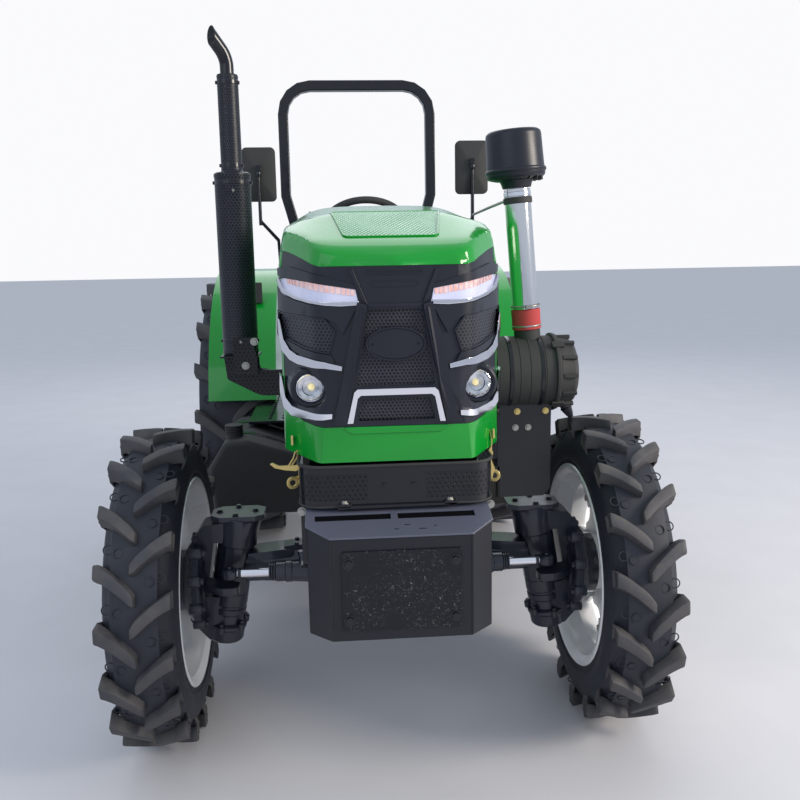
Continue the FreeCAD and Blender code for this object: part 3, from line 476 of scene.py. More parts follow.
REFLECTOR = Finish("lamp_reflector", (0.8, 0.81, 0.84), (0.45, 0.47, 0.52), 0.12, metallic=1.0, mottle=0.9,
                   mottle_scale=55, dust=0.0, unevenness=0.05, grain=0.00002)
BARE = Finish("machined_steel", (0.55, 0.55, 0.56), (0.4, 0.4, 0.41), 0.32, metallic=1.0, dust=0.06)
ZINC = Finish("yellow_zinc", (0.7, 0.55, 0.22), (0.58, 0.43, 0.14), 0.28, metallic=0.8, dust=0.03)
BOLT = Finish("plated_bolts", (0.42, 0.41, 0.38), (0.28, 0.27, 0.25), 0.35, metallic=0.9, dust=0.06)
HOSE = Finish("red_hose", (0.88, 0.04, 0.058), (0.72, 0.03, 0.044), 0.4, dust=0.02)
VINYL = Finish("seat_vinyl", (0.018, 0.019, 0.024), (0.012, 0.013, 0.017), 0.5, dust=0.04, grain_scale=700,
               grain=0.0005)
LENS = Glowing("lamp_lens", (0.66, 0.67, 0.84), (0.48, 0.5, 0.7), 0.12, coat=0.8, dust=0.0, mottle_scale=18,
               glow=(0.8, 0.82, 1.0), strength=0.1)
LED = Glowing("signal_strip", (0.8, 0.42, 0.36), (0.85, 0.66, 0.66), 0.18, coat=0.8, dust=0.0, mottle=0.9,
              mottle_scale=70, glow=(1.0, 0.5, 0.42), strength=0.12)
BULB = Glowing("lamp_bulb", (0.9, 0.8, 0.4), (0.85, 0.66, 0.22), 0.15, coat=0.8, dust=0.0,
               glow=(1.0, 0.86, 0.5), strength=0.55)
MIRROR = Finish("mirror_glass", (0.75, 0.78, 0.8), (0.7, 0.73, 0.76), 0.04, metallic=1.0, dust=0.01)


# Modelling


def rounded(corners: Sequence[Sequence[float]], step: float = 0.16) -> list[Point2]:
    """Rounds the corners of a closed outline.

    Args:
        corners: (u, v) or (u, v, radius) for each corner.
        step: the longest turn between two points of a corner, in radians.

    Returns:
        The outline's points.
    """
    points: list[Point2] = []
    for index, corner in enumerate(corners):
        here = Vector(corner[:2])
        radius = corner[2] if len(corner) > 2 else 0
        if radius <= 0:
            points.append(tuple(here))
            continue
        before = (Vector(corners[index - 1][:2]) - here).normalized()
        after = (Vector(corners[(index + 1) % len(corners)][:2]) - here).normalized()
        half = before.angle(after) / 2
        centre = here + (before + after).normalized() * (radius / math.sin(half))
        spoke = here + before * (radius / math.tan(half)) - centre
        turn = math.pi - 2 * half
        if before.x * after.y - before.y * after.x > 0:
            turn = -turn
        count = max(2, math.ceil(abs(turn) / step))
        for k in range(count + 1):
            points.append(tuple(centre + Matrix.Rotation(turn * k / count, 2) @ spoke))
    return points


def rounded_box(low: Point2, high: Point2, radius: float) -> list[Point2]:
    """Returns a rectangle's outline with rounded corners."""
    return rounded([(*low, radius), (high[0], low[1], radius), (*high, radius), (low[0], high[1], radius)])


def turns(count: int, start: float = 0.0) -> list[float]:
    """Returns even angles round a circle; start is the first one as a share of a step."""
    return [2 * math.pi * (k + start) / count for k in range(count)]


def facing(axis: Sequence[float]) -> Matrix:
    """Returns the turn that takes +Z to an axis."""
    return Vector(axis).to_track_quat("Z", "Y").to_matrix().to_4x4()


def everything(mesh: bmesh.types.BMesh) -> list:
    """Returns all points, edges and faces."""
    return mesh.verts[:] + mesh.edges[:] + mesh.faces[:]


def points_in(items: Iterable) -> list[bmesh.types.BMVert]:
    """Returns the points among mixed mesh items."""
    return [item for item in items if isinstance(item, bmesh.types.BMVert)]


def across(corners: Sequence[Sequence[float]]) -> list[Sequence[float]]:
    """Completes an outline with its mirror image, from corners at positive u from the top down."""
    return list(corners) + [(-corner[0], *corner[1:]) for corner in reversed(corners)]


class Shape:
    """One piece under construction: a bmesh and the moves that shape it."""

    def __init__(self) -> None:
        """Starts with nothing."""
        self.mesh = bmesh.new()

    def turn(self, profile: Sequence[Point2], origin: Point3, axis: Point3, segments: int = 48,
             closed: bool = False) -> "Shape":
        """Adds a turned form.

        Args:
            profile: (radius, distance along the axis) points.
            origin: where the distances start.
            axis: the direction of the axis.
            segments: facets round the axis.
            closed: whether the profile's last point joins its first.

        Returns:
            This shape.
        """
        before = set(self.mesh.verts)
        verts = [self.mesh.verts.new((max(radius, 0), 0, along)) for radius, along in profile]
        edges = [self.mesh.edges.new(pair) for pair in zip(verts, verts[1:])]
        if closed:
            edges.append(self.mesh.edges.new((verts[-1], verts[0])))
        bmesh.ops.spin(self.mesh, geom=verts + edges, cent=(0, 0, 0), axis=(0, 0, 1), dvec=(0, 0, 0),
                       angle=2 * math.pi, steps=segments, use_merge=True)
        fresh = [vert for vert in self.mesh.verts if vert not in before]
        bmesh.ops.transform(self.mesh, matrix=Matrix.Translation(origin) @ facing(axis), verts=fresh)
        return self

    def slab(self, outline: Sequence[Point2], view: str, start: float, end: float) -> "Shape":
        """Adds an extruded outline.

        Args:
            outline: points seen in the view.
            view: "front" for (x, z), "side" for (y, z) or "plan" for (x, y).
            start: where the extrusion starts along the view's axis.
            end: where it ends.

        Returns:
            This shape.
        """
        to_place = {"front": lambda u, v: (u, start, v), "side": lambda u, v: (start, u, v),
                    "plan": lambda u, v: (u, v, start)}[view]
        away = {"front": (0, end - start, 0), "side": (end - start, 0, 0), "plan": (0, 0, end - start)}[view]
        face = self.mesh.faces.new([self.mesh.verts.new(to_place(u, v)) for u, v in outline])
        grown = bmesh.ops.extrude_face_region(self.mesh, geom=[face])["geom"]
        bmesh.ops.translate(self.mesh, vec=away, verts=points_in(grown))
        return self

    def block(self, low: Point3, high: Point3) -> "Shape":
        """Adds a box between two corners."""
        size = Vector(high) - Vector(low)
        place = Matrix.Translation((Vector(high) + Vector(low)) / 2) @ Matrix.Diagonal((*size, 1))
        bmesh.ops.create_cube(self.mesh, size=1, matrix=place)
        return self

    def bolts(self, places: Iterable[Point3], axis: Point3, across_flats: float, height: float) -> "Shape":
        """Adds hexagon bolt heads on washers.

        Args:
            places: the centre of each head's seat.
            axis: the way the heads point.
            across_flats: the size of a head.
            height: how far it stands up.

        Returns:
            This shape.
        """
        for place in places:
            seat = Matrix.Translation(place) @ facing(axis)
            for sides, radius, tall, top in ((6, across_flats * 0.577, height, across_flats * 0.52),
                                             (14, across_flats * 0.78, height * 0.25, across_flats * 0.78)):
                bmesh.ops.create_cone(self.mesh, cap_ends=True, segments=sides, radius1=radius, radius2=top,
                                      depth=tall, matrix=seat @ Matrix.Translation((0, 0, tall / 2)))
        return self

    def pipe(self, points: Sequence[Point3], radius: float, segments: int = 20, cap: bool = True) -> "Shape":
        """Adds a bent tube through points, with mitred joints.

        Args:
            points: the middle line.
            radius: the tube's radius.
            segments: facets round it.
            cap: whether its ends are closed.

        Returns:
            This shape.
        """
        places = [Vector(point) for point in points]
        ring = None
        for index, place in enumerate(places):
            leave = places[min(index + 1, len(places) - 1)] - place
            arrive = place - places[max(index - 1, 0)]
            along = (leave.normalized() + arrive.normalized()).normalized()
            if ring is None:
                disc = bmesh.ops.create_circle(self.mesh, cap_ends=False, segments=segments, radius=radius,
                                               matrix=Matrix.Translation(place) @ facing(along))
                ring = list({edge for vert in disc["verts"] for edge in vert.link_edges})
                if cap:
                    bmesh.ops.contextual_create(self.mesh, geom=ring)
                before = along
                continue
            grown = bmesh.ops.extrude_edge_only(self.mesh, edges=ring)["geom"]
            verts = points_in(grown)
            ring = [item for item in grown if isinstance(item, bmesh.types.BMEdge) and
                    all(vert in verts for vert in item.verts)]
            turn = before.rotation_difference(along).to_matrix().to_4x4()
            move = Matrix.Translation(place) @ turn @ Matrix.Translation(-places[index - 1])
            bmesh.ops.transform(self.mesh, matrix=move, verts=verts)
            before = along
        if cap:
            bmesh.ops.contextual_create(self.mesh, geom=ring)
        return self

    def cut(self, place: Sequence[float], normal: Sequence[float], clear: bool = False) -> "Shape":
        """Cuts along a plane, and clears what lies beyond it where clear is set."""
        bmesh.ops.bisect_plane(self.mesh, geom=everything(self.mesh), plane_co=place, plane_no=normal,
                               dist=PLANE_MERGE, clear_outer=clear)
        return self

    def absorb(self, other: "Shape") -> "Shape":
        """Takes over another shape's faces."""
        data = bpy.data.meshes.new("part")
        other.mesh.to_mesh(data)
        other.mesh.free()
        self.mesh.from_mesh(data)
        bpy.data.meshes.remove(data)
        return self

    def mirror(self, keep: bool = True) -> "Shape":
        """Mirrors the shape to the tractor's other side, and keeps the first side too where keep is set."""
        geom = everything(self.mesh)
        if keep:
            geom = bmesh.ops.duplicate(self.mesh, geom=geom)["geom"]
        bmesh.ops.scale(self.mesh, vec=(-1, 1, 1), verts=points_in(geom))
        return self

    def spun(self, angle: float, axis: str) -> "Shape":
        """Turns the whole shape round an axis of the frame."""
        bmesh.ops.rotate(self.mesh, cent=(0, 0, 0), matrix=Matrix.Rotation(angle, 3, axis),
                         verts=self.mesh.verts)
        return self

    def shifted(self, way: Point3) -> "Shape":
        """Moves the whole shape."""
        bmesh.ops.translate(self.mesh, vec=way, verts=self.mesh.verts)
        return self

    def move(self, change: Callable[[Vector], Vector]) -> "Shape":
        """Moves every point by a function of its place."""
        for vert in self.mesh.verts:
            vert.co = change(vert.co)
        return self

    def map_round(self, centre: Point3, radius: float) -> "Shape":
        """Lays a UV map round an upright axis, in metres, for a pattern that follows a round sheet."""
        layer = self.mesh.loops.layers.uv.verify()
        for face in self.mesh.faces:
            angles = []
            for loop in face.loops:
                angle = math.atan2(loop.vert.co.y - centre[1], loop.vert.co.x - centre[0])
                if angles and abs(angle - angles[0]) > math.pi:
                    angle += math.copysign(2 * math.pi, angles[0])
                angles.append(angle)
                loop[layer].uv = (angle * radius, loop.vert.co.z)
        return self

    def finish(self, name: str, body: str, finish: Finish, replaces: Sequence[str] = (), bevel: float = 0.0,
               segments: int = 2, sharp: float = 32.0) -> bpy.types.Object:
        """Turns the shape into a finished object.

        Args:
            name: the piece's name.
            body: the body it rides on.
            finish: what it is made of.
            replaces: CAD nodes that it stands for.
            bevel: the width of its rounded edges.
            segments: steps across a rounded edge.
            sharp: the angle, in degrees, from which an edge is shaded sharp.

        Returns:
            The object.
        """
        bmesh.ops.remove_doubles(self.mesh, verts=self.mesh.verts, dist=MERGE)
        bmesh.ops.translate(self.mesh, vec=SHIFT, verts=self.mesh.verts)
        bmesh.ops.recalc_face_normals(self.mesh, faces=self.mesh.faces)
        data = bpy.data.meshes.new(name)
        self.mesh.to_mesh(data)
        self.mesh.free()
        return settle(bpy.data.objects.new(name, data), body, finish, replaces, bevel, segments, sharp)


def settle(piece: bpy.types.Object, body: str, finish: Finish, replaces: Sequence[str], bevel: float,
           segments: int, sharp: float) -> bpy.types.Object:
    """Shades, bevels and dresses a new object, and hands it to its body.

    Args:
        piece: the object, with its place in its mesh.
        body: the body it rides on.
        finish: what it is made of.
        replaces: CAD nodes that it stands for.
        bevel: the width of its rounded edges.
        segments: steps across a rounded edge.
        sharp: the angle, in degrees, from which an edge is sharp.

    Returns:
        The same object.
    """
    bpy.context.scene.collection.objects.link(piece)
    piece.data.shade_smooth()
    piece.data.set_sharp_from_angle(angle=math.radians(sharp))
    if bevel:
        rounding = piece.modifiers.new("rounding", "BEVEL")
        rounding.width = bevel
        rounding.segments = segments
        rounding.limit_method = "ANGLE"
        rounding.angle_limit = math.radians(sharp)
        rounding.harden_normals = True
    piece.data.materials.clear()
    piece.data.materials.append(finish.build())
    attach(piece, body)
    if replaces:
        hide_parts(*replaces)
    return piece


def dress_node(node: str, finish: Finish, bevel: float = 0.004, segments: int = 2, sharp: float = 30.0,
               change: Optional[Callable[[bmesh.types.BMesh], None]] = None) -> bpy.types.Object:
    """Stands a merged, rounded copy of a CAD node in for it.

    Args:
        node: the node.
        finish: what it is made of.
        bevel: the width of its rounded edges.
        segments: steps across a rounded edge.
        sharp: the angle from which an edge is rounded, in degrees.
        change: what reshapes the copy, with the front axle at Y = 0.

    Returns:
        The new piece.
    """
    mesh = bmesh.new()
    mesh.from_mesh(frame["nodes"][node].data)
    bmesh.ops.remove_doubles(mesh, verts=mesh.verts, dist=2e-5)
    bmesh.ops.dissolve_limit(mesh, angle_limit=math.radians(0.6), verts=mesh.verts, edges=mesh.edges)
    if change:
        bmesh.ops.translate(mesh, vec=-SHIFT, verts=mesh.verts)
        change(mesh)
        bmesh.ops.translate(mesh, vec=SHIFT, verts=mesh.verts)
    data = bpy.data.meshes.new(node + "_dressed")
    mesh.to_mesh(data)
    mesh.free()
    body = next(name for name, nodes in frame["record"]["behaviour"]["bodies"].items() if node in nodes)
    return settle(bpy.data.objects.new(node + "_dressed", data), body, finish, [node], bevel, segments,
                  sharp)


# Camera, floor and light


@dataclass
class Studio:
    """The camera at the photograph's viewpoint, a pale floor and soft light.

    Angles are in degrees, places are measured from the ground under the front axle, and focal is in pixels.
    """

    eye: Point3 = (-0.14425, -2.59066, 1.50202)
    yaw: float = 4.2577
    pitch: float = 9.8927
    roll: float = 1.0337
    focal: float = 841.01
    frame_px: float = 800.0
    sky: float = 0.85
    reflected: float = 0.7

    def build(self) -> None:
        """Adds the camera, the floor, the lamps and the sky."""
        self.add_camera()
        self.add_floor()
        self.add_light()

    def add_camera(self) -> None:
        """Places the camera."""
        yaw, pitch, roll = (math.radians(angle) for angle in (self.yaw, self.pitch, self.roll))
        forward = Vector((math.sin(yaw) * math.cos(pitch), math.cos(yaw) * math.cos(pitch),
                          -math.sin(pitch)))
        right = Vector((math.cos(yaw), -math.sin(yaw), 0))
        above = right.cross(forward)
        side = right * math.cos(roll) - above * math.sin(roll)
        top = right * math.sin(roll) + above * math.cos(roll)
        camera = bpy.data.cameras.new("camera")
        camera.sensor_width = 36
        camera.lens = self.focal * camera.sensor_width / self.frame_px
        holder = bpy.data.objects.new("camera", camera)
        turn = Matrix((side, top, -forward)).transposed().to_4x4()
        holder.matrix_world = Matrix.Translation(Vector(self.eye) + SHIFT) @ turn
        bpy.context.scene.collection.objects.link(holder)
        bpy.context.scene.camera = holder

    def add_floor(self) -> None:
        """Lays a wide pale floor that the camera sees as near white."""
        mesh = bmesh.new()
        bmesh.ops.create_grid(mesh, x_segments=1, y_segments=1, size=60)
        data = bpy.data.meshes.new("floor")
        mesh.to_mesh(data)
        mesh.free()
        floor = bpy.data.objects.new("floor", data)
        bpy.context.scene.collection.objects.link(floor)
        recipe = Recipe("pale_floor")
        where = recipe.add("TexCoord").outputs["Object"]
        noise = recipe.add("TexNoise", named={"Vector": where, "Scale": 3.0})
        tone = blend(recipe.tree, noise.outputs["Fac"], (0.56, 0.55, 0.57, 1), (0.62, 0.61, 0.63, 1))
        recipe.shade(Base_Color=tone, Roughness=0.75)
        data.materials.append(recipe.material)

    def add_light(self) -> None:
        """Adds a warm key lamp, a cool fill, a lamp behind and a pale sky that the camera sees as white."""
        for name, place, size, power, color in (("key", (6.0, -2.5, 3.6), 2.4, 400.0, (1.0, 0.91, 0.8)),
                                                ("fill", (-4.0, -5.0, 4.5), 5.0, 60.0, (0.84, 0.92, 1.0)),
                                                ("back", (0.5, 6.5, 6.0), 6.0, 110.0, (1.0, 1.0, 1.0))):
            lamp = bpy.data.lights.new(name, "AREA")
            lamp.size = size
            lamp.energy = power
            lamp.color = color
            holder = bpy.data.objects.new(name, lamp)
            aim = (Vector((0, 0.3, 0.9)) - Vector(place)).to_track_quat("-Z", "Y").to_matrix().to_4x4()
            holder.matrix_world = Matrix.Translation(Vector(place) + SHIFT) @ aim
            bpy.context.scene.collection.objects.link(holder)
        world = bpy.data.worlds.new("sky")
        bpy.context.scene.world = world
        world.use_nodes = True
        tree = world.node_tree
        tree.nodes.clear()
        path = add_node(tree, "LightPath").outputs
        strength = map_range(tree, path["Is Glossy Ray"], 0.0, 1.0, self.sky, self.reflected)
        seen = math_node(tree, "MAXIMUM", strength, path["Is Camera Ray"])
        tone = blend(tree, path["Is Camera Ray"], (0.78, 0.87, 1.0, 1), (0.96, 0.96, 0.98, 1))
        sky = add_node(tree, "Background", [tone, seen])
        add_node(tree, "OutputWorld", named={"Surface": sky.outputs[0]})
        bpy.context.scene.view_settings.view_transform = "Standard"


# Nose and hood


def nose_plan(inset: float) -> list[Point2]:
    """Returns the nose's outline seen from above, from the middle out to the left side, set in by inset."""
    return rounded([(0, -0.558 + inset), (0.19 - inset / 2, -0.534 + inset, 0.06),
                    (0.293 - inset, -0.335 + inset, 0.06), (0.345 - inset, 0.785)], step=0.08)


def nose_y(x: float, z: float, inset: float = 0.0) -> float:
    """Returns where the nose's skin lies.

    Args:
        x: the place across.
        z: the height.
        inset: how far inside the hood's outside the skin is.

    Returns:
        Its y, with the front axle at 0.
    """
    plan = nose_plan(inset)
    x = abs(x)
    level = plan[-1][1]
    for (x0, y0), (x1, y1) in zip(plan, plan[1:]):
        if x <= x1:
            level = y0 + (y1 - y0) * max(x - x0, 0) / max(x1 - x0, 1e-6)
            break
    return max(level, NOSE_FACE_Y + NOSE_SLOPE * max(NOSE_BEND_Z - z, 0.0) + inset)


def behind_skin(x: float, z: float, inset: float, thick: float) -> float:
    """Returns the y of a fitting's back, which stays near its face where the nose turns to its side."""
    return min(nose_y(x, z, inset + thick), nose_y(x, z, inset) + 2.5 * thick)


def skin_plate(outline: Sequence[Point2], inset: float, thick: float, step: float = 0.012) -> Shape:
    """Builds a plate that follows the nose.

    Args:
        outline: (x, z) points seen from the front.
        inset: how far its face is inside the hood's outside; less than 0 stands proud.
        thick: its thickness, inwards.
        step: how finely it bends across.

    Returns:
        The plate.
    """
    shape = Shape()
    face = shape.mesh.faces.new([shape.mesh.verts.new((x, 0, z)) for x, z in outline])
    face.normal_update()
    low = min(x for x, _ in outline)
    high = max(x for x, _ in outline)
    cuts = [low + step * k for k in range(1, int((high - low) / step) + 1)]
    cuts = [x for x in cuts if x < high - 1e-4]
    for x in cuts:
        shape.cut((x, 0, 0), (1, 0, 0))
    if min(z for _, z in outline) < NOSE_BEND_Z < max(z for _, z in outline):
        shape.cut((0, 0, NOSE_BEND_Z), (0, 0, 1))
    back = set(points_in(bmesh.ops.extrude_face_region(shape.mesh, geom=shape.mesh.faces[:])["geom"]))
    for vert in shape.mesh.verts:
        vert.co.y = behind_skin(vert.co.x, vert.co.z, inset, thick if vert in back else 0.0)
    return shape


def skin_frame(outline: Sequence[Point2], width: float, inset: float, thick: float) -> Shape:
    """Builds a raised rim round an opening in the nose.

    Args:
        outline: the opening, as (x, z) points.
        width: the rim's width.
        inset: how far its face is inside the hood's outside.
        thick: its thickness, inwards.

    Returns:
        The rim.
    """
    points = [Vector(point) for point in densified(outline, 0.012)]
    turn = sum(a.x * b.y - b.x * a.y for a, b in zip(points, points[1:] + points[:1]))
    shape = Shape()
    rings = []
    for spread, depth in ((0.0, 0.0), (width, 0.0), (width, thick), (0.0, thick)):
        ring = []
        for before, here, after in zip(points[-1:] + points[:-1], points, points[1:] + points[:1]):
            along = ((here - before).normalized() + (after - here).normalized()).normalized()
            away = Vector((along.y, -along.x)) * (spread if turn > 0 else -spread)
            place = here + away
            ring.append(
                shape.mesh.verts.new((place.x, behind_skin(place.x, place.y, inset, depth), place.y)))
        rings.append([shape.mesh.edges.new(pair) for pair in zip(ring, ring[1:] + ring[:1])])
    for first, second in zip(rings, rings[1:] + rings[:1]):
        bmesh.ops.bridge_loops(shape.mesh, edges=first + second)
    return shape


def between(start: Point2, end: Point2, share: float) -> Point2:
    """Returns the point at a share of the way from start to end."""
    return start[0] + (end[0] - start[0]) * share, start[1] + (end[1] - start[1]) * share


def densified(outline: Sequence[Point2], step: float) -> list[Point2]:
    """Adds points to a closed outline so that no side is longer than step."""
    points = []
    for start, end in zip(outline, list(outline[1:]) + [outline[0]]):
        count = max(1, math.ceil(math.dist(start, end) / step))
        points.extend(between(start, end, k / count) for k in range(count))
    return points


@dataclass
class Mask:
    """The black mask over the nose, with its ribs, grilles, lamps, bright strips and blank badge."""

    grille: tuple = ((0.066, 1.37, 0.008), (0.097, 1.18, 0.008))
    low_grille: tuple = ((0.084, 1.148, 0.008), (0.098, 1.092, 0.004))
    side_mesh: tuple = ((0.291, 1.352), (0.174, 1.346), (0.15, 1.3155), (0.165, 1.266), (0.231, 1.276),
                        (0.292, 1.296))
    lamp: Point3 = (0.214, -0.47, 1.169)
    lamp_way: Point3 = (0.05, 1, 0)
    lamp_r: float = 0.036

    def build(self) -> None:
        """Builds the mask and everything fitted to it."""
        dress_node("front_mask", SATIN, bevel=0.0025, change=lean_in)
        self.ribs()
        self.grilles()
        self.badge()
        self.headlights()
        self.round_lamps()
        self.strips()

    def ribs(self) -> None:
        """Adds the slender upper ribs, the slot under the lip with a gloss black fill of painted shade, and
        the brows over the side meshes.
        """
        upper = skin_plate([(0.1, 1.466), (0.112, 1.466), (0.08, 1.392), (0.066, 1.38)],
                           -0.003, 0.01).mirror()
        upper.absorb(skin_plate(across([(0.07, 1.384), (0.066, 1.375)]), -0.002, 0.008))
        upper.finish("mask_upper_ribs", "hood", SATIN, bevel=0.0015)
        slot = rounded(across([(0.066, 1.4625, 0.003), (0.066, 1.4555, 0.003)]))
        window = rounded(across([(0.06, 1.436, 0.004), (0.052, 1.424, 0.004)]))
        rim = skin_frame(slot, 0.0025, 0.0, 0.004).absorb(skin_frame(window, 0.0015, 0.0008, 0.003))
        rim.finish("mask_slot_rim", "hood", SATIN)
        # The slot is a gloss black plate set in its rim: painted shade for the dark opening.
        skin_plate(slot, 0.0012, 0.002).finish("mask_slot", "hood", GLOSS_BLACK)
        brow = skin_plate(
            [(0.297, 1.424), (0.284, 1.404), (0.25, 1.39), (0.21, 1.382), (0.092, 1.378), (0.098, 1.366),
             (0.129, 1.309), (0.146, 1.338), (0.174, 1.351), (0.296, 1.357)], -0.003, 0.008)
        brow.absorb(skin_plate(
            [(0.093, 1.4175), (0.17, 1.4305), (0.209, 1.4365), (0.288, 1.4455), (0.2945, 1.452),
             (0.2945, 1.47), (0.262, 1.474), (0.093, 1.428)], -0.0015, 0.006))
        brow.mirror()
        brow.finish("mask_brows", "hood", SATIN, bevel=0.0025)
        cheek = skin_plate(
            [(0.15, 1.238), (0.214, 1.251), (0.252, 1.256), (0.28, 1.275), (0.2965, 1.312), (0.298, 1.36),
             (0.2955, 1.352), (0.2925, 1.291), (0.231, 1.27), (0.161, 1.259)], -0.005, 0.012).mirror()
        cheek.finish("mask_cheeks", "hood", SATIN, bevel=0.003)
        slope = skin_plate([(0.0775, 1.374), (0.094, 1.374), (0.147, 1.138), (0.167, 1.084), (0.139, 1.084),
                            (0.109, 1.176)], 0.0, 0.01)
        slope.move(lambda co: Vector((co.x, co.y - 0.013 * self.inward(co.x, co.z), co.z)))
        slope.mirror()
        slope.finish("mask_slopes", "hood", SATIN, bevel=0.002)

    def inward(self, x: float, z: float) -> float:
        """Returns 1 at the inner edge of the long sloping rib and 0 at its outer edge."""
        below = 1.374 - z
        inner = 0.0775 + below * (0.159 if z > 1.176 else 0.172)
        outer = 0.094 + below * (0.2246 if z > 1.138 else 0.2517)
        return clamp((outer - x) / (outer - inner))

    def grilles(self) -> None:
        """Fits the punched meshes with their rims."""
        grille, low = across(self.grille), across(self.low_grille)
        mesh = skin_plate(rounded(grille), 0.009, 0.004)
        mesh.absorb(skin_plate(rounded(low), 0.009, 0.004))
        side = skin_plate([(x, z + (0.014 if z > 1.33 else 0.0)) for x, z in self.side_mesh],
                          0.0005, 0.004).mirror()
        mesh.absorb(side)
        mesh.finish("grille_meshes", "hood", MESH, ["grilles"])
        rims = skin_frame(rounded(grille), 0.0105, 0.0005, 0.012)
        rims.absorb(skin_frame(rounded(low), 0.003, 0.0, 0.012))
        side = skin_frame(self.side_mesh, 0.004, -0.003, 0.012).mirror()
        rims.absorb(side)
        rims.finish("grille_rims", "hood", SATIN, bevel=0.001, sharp=40)

    def badge(self) -> None:
        """Adds the blank oval badge and its two screws."""
        outline = [(0.0695 * math.cos(angle), 1.2845 + 0.038 * math.sin(angle)) for angle in turns(56)]
        plate = skin_plate(outline, 0.001, 0.008, step=0.02)
        plate.finish("badge_plate", "hood", SATIN, bevel=0.0015, sharp=50)
        rim = skin_frame(outline, 0.0045, -0.0015, 0.01)
        rim.finish("badge_rim", "hood", SATIN, bevel=0.0008, sharp=50)
        screws = Shape()
        for x in (-0.056, 0.056):
            screws.turn([(0, 0.0022), (0.0018, 0.002), (0.003, 0.0)], (x, nose_y(x, 1.284) + 0.001, 1.284),
                        (0, -1, 0), 12)
        screws.finish("badge_screws", "hood", GLOSS_BLACK)

    def headlights(self) -> None:
        """Builds the lenses with their signal strips and bright lower lips."""
        lens = skin_plate([(0.268, 1.445), (0.095, 1.4185), (0.088, 1.383), (0.215, 1.387), (0.285, 1.402),
                           (0.294, 1.424), (0.292, 1.441)], 0.0, 0.01).mirror()
        lens.finish("headlight_lenses", "hood", LENS, ["headlights"], bevel=0.002)
        low = [(0.097, 1.402), (0.13, 1.406), (0.17, 1.412), (0.209, 1.4185), (0.245, 1.426), (0.268, 1.431)]
        high = [(0.095, 1.4165), (0.13, 1.423), (0.17, 1.4295), (0.209, 1.436), (0.245, 1.4405),
                (0.268, 1.443)]
        strip = Shape()
        for a, b, c, d in zip(low, low[1:], high[1:], high):
            for k in range(3):
                near, far = k / 3 + 0.03, (k + 1) / 3 - 0.02
                corners = [between(a, b, near), between(a, b, far), between(d, c, far), between(d, c, near)]
                strip.absorb(skin_plate(corners, -0.0012, 0.004, step=0.05))
        strip.mirror()
        strip.finish("signal_strips", "hood", LED, bevel=0.0008, segments=1)
        lip = skin_plate([(0.087, 1.391), (0.087, 1.38), (0.131, 1.3775), (0.17, 1.38), (0.21, 1.385),
                          (0.25, 1.393), (0.284, 1.408), (0.298, 1.44), (0.291, 1.446), (0.278, 1.419),
                          (0.25, 1.403), (0.212, 1.394), (0.17, 1.39)], -0.006, 0.012, step=0.008).mirror()
        lip.finish("headlight_lips", "hood", CHROME, bevel=0.003, segments=3)

    def round_lamps(self) -> None:
        """Builds the round lamps in their deep black pods."""
        r = self.lamp_r
        pod = [(r + 0.001, 0.03), (r + 0.001, 0.004), (r + 0.004, -0.004), (r + 0.01, -0.006),
               (r + 0.015, -0.001), (r + 0.018, 0.02), (r + 0.022, 0.08)]
        ring = [(r, 0.01), (r + 0.002, -0.001), (r - 0.001, -0.003), (r - 0.004, 0.001), (r - 0.004, 0.01)]
        for name, finish, profile in (("lamp_pods", SATIN, pod), ("lamp_rings", CHROME, ring)):
            Shape().turn(profile, self.lamp, self.lamp_way, 48).mirror().finish(name, "hood", finish)
        dish = Shape().turn([(0, 0.024), (0.011, 0.022), (0.012, 0.015), (0.02, 0.014), (0.0215, 0.008),
                             (r - 0.005, 0.006), (r - 0.003, 0.003), (r - 0.002, 0.006), (r - 0.002, 0.03),
                             (0, 0.03)], self.lamp, self.lamp_way, 18)
        dish.mirror().finish("lamp_dishes", "hood", REFLECTOR, ["round_lamps"], sharp=12)
        x, y, z = self.lamp
        bulb = [(0, 0.01), (0.004, 0.011), (0.0075, 0.014), (0.0085, 0.018), (0.0085, 0.026)]
        Shape().turn(bulb, (x - 0.002, y, z), self.lamp_way, 20).mirror().finish("lamp_bulbs", "hood", BULB)

    def strips(self) -> None:
        """Adds the bright strips beside the lamps and the bright arch round the low grille."""
        upper = [(0.298, 1.342), (0.3005, 1.3), (0.288, 1.254), (0.268, 1.235), (0.246, 1.228),
                 (0.215, 1.2265), (0.175, 1.227), (0.134, 1.221), (0.1325, 1.232), (0.175, 1.2425),
                 (0.214, 1.248), (0.246, 1.251), (0.266, 1.261), (0.283, 1.286), (0.292, 1.335)]
        lower = [(0.3, 1.19), (0.3005, 1.14), (0.29, 1.102), (0.27, 1.087), (0.246, 1.089), (0.219, 1.0935),
                 (0.161, 1.1005), (0.16, 1.1135), (0.2185, 1.112), (0.245, 1.111), (0.266, 1.113),
                 (0.284, 1.131), (0.293, 1.184)]
        strips = skin_plate(upper, -0.008, 0.014, step=0.0035)
        strips.absorb(skin_plate(lower, -0.008, 0.014, step=0.0035))
        strips.mirror()
        strips.finish("bright_strips", "hood", CHROME, ["mask_trim"], bevel=0.003, segments=3)
        arch = skin_plate([(-0.124, 1.086), (-0.105, 1.166), (-0.096, 1.174), (0.096, 1.174), (0.105, 1.166),
                           (0.124, 1.086), (0.109, 1.086), (0.096, 1.15), (0.088, 1.157), (-0.088, 1.157),
                           (-0.096, 1.15), (-0.109, 1.086)], -0.006, 0.012)
        arch.finish("bright_arch", "hood", CHROME, bevel=0.003, segments=3)


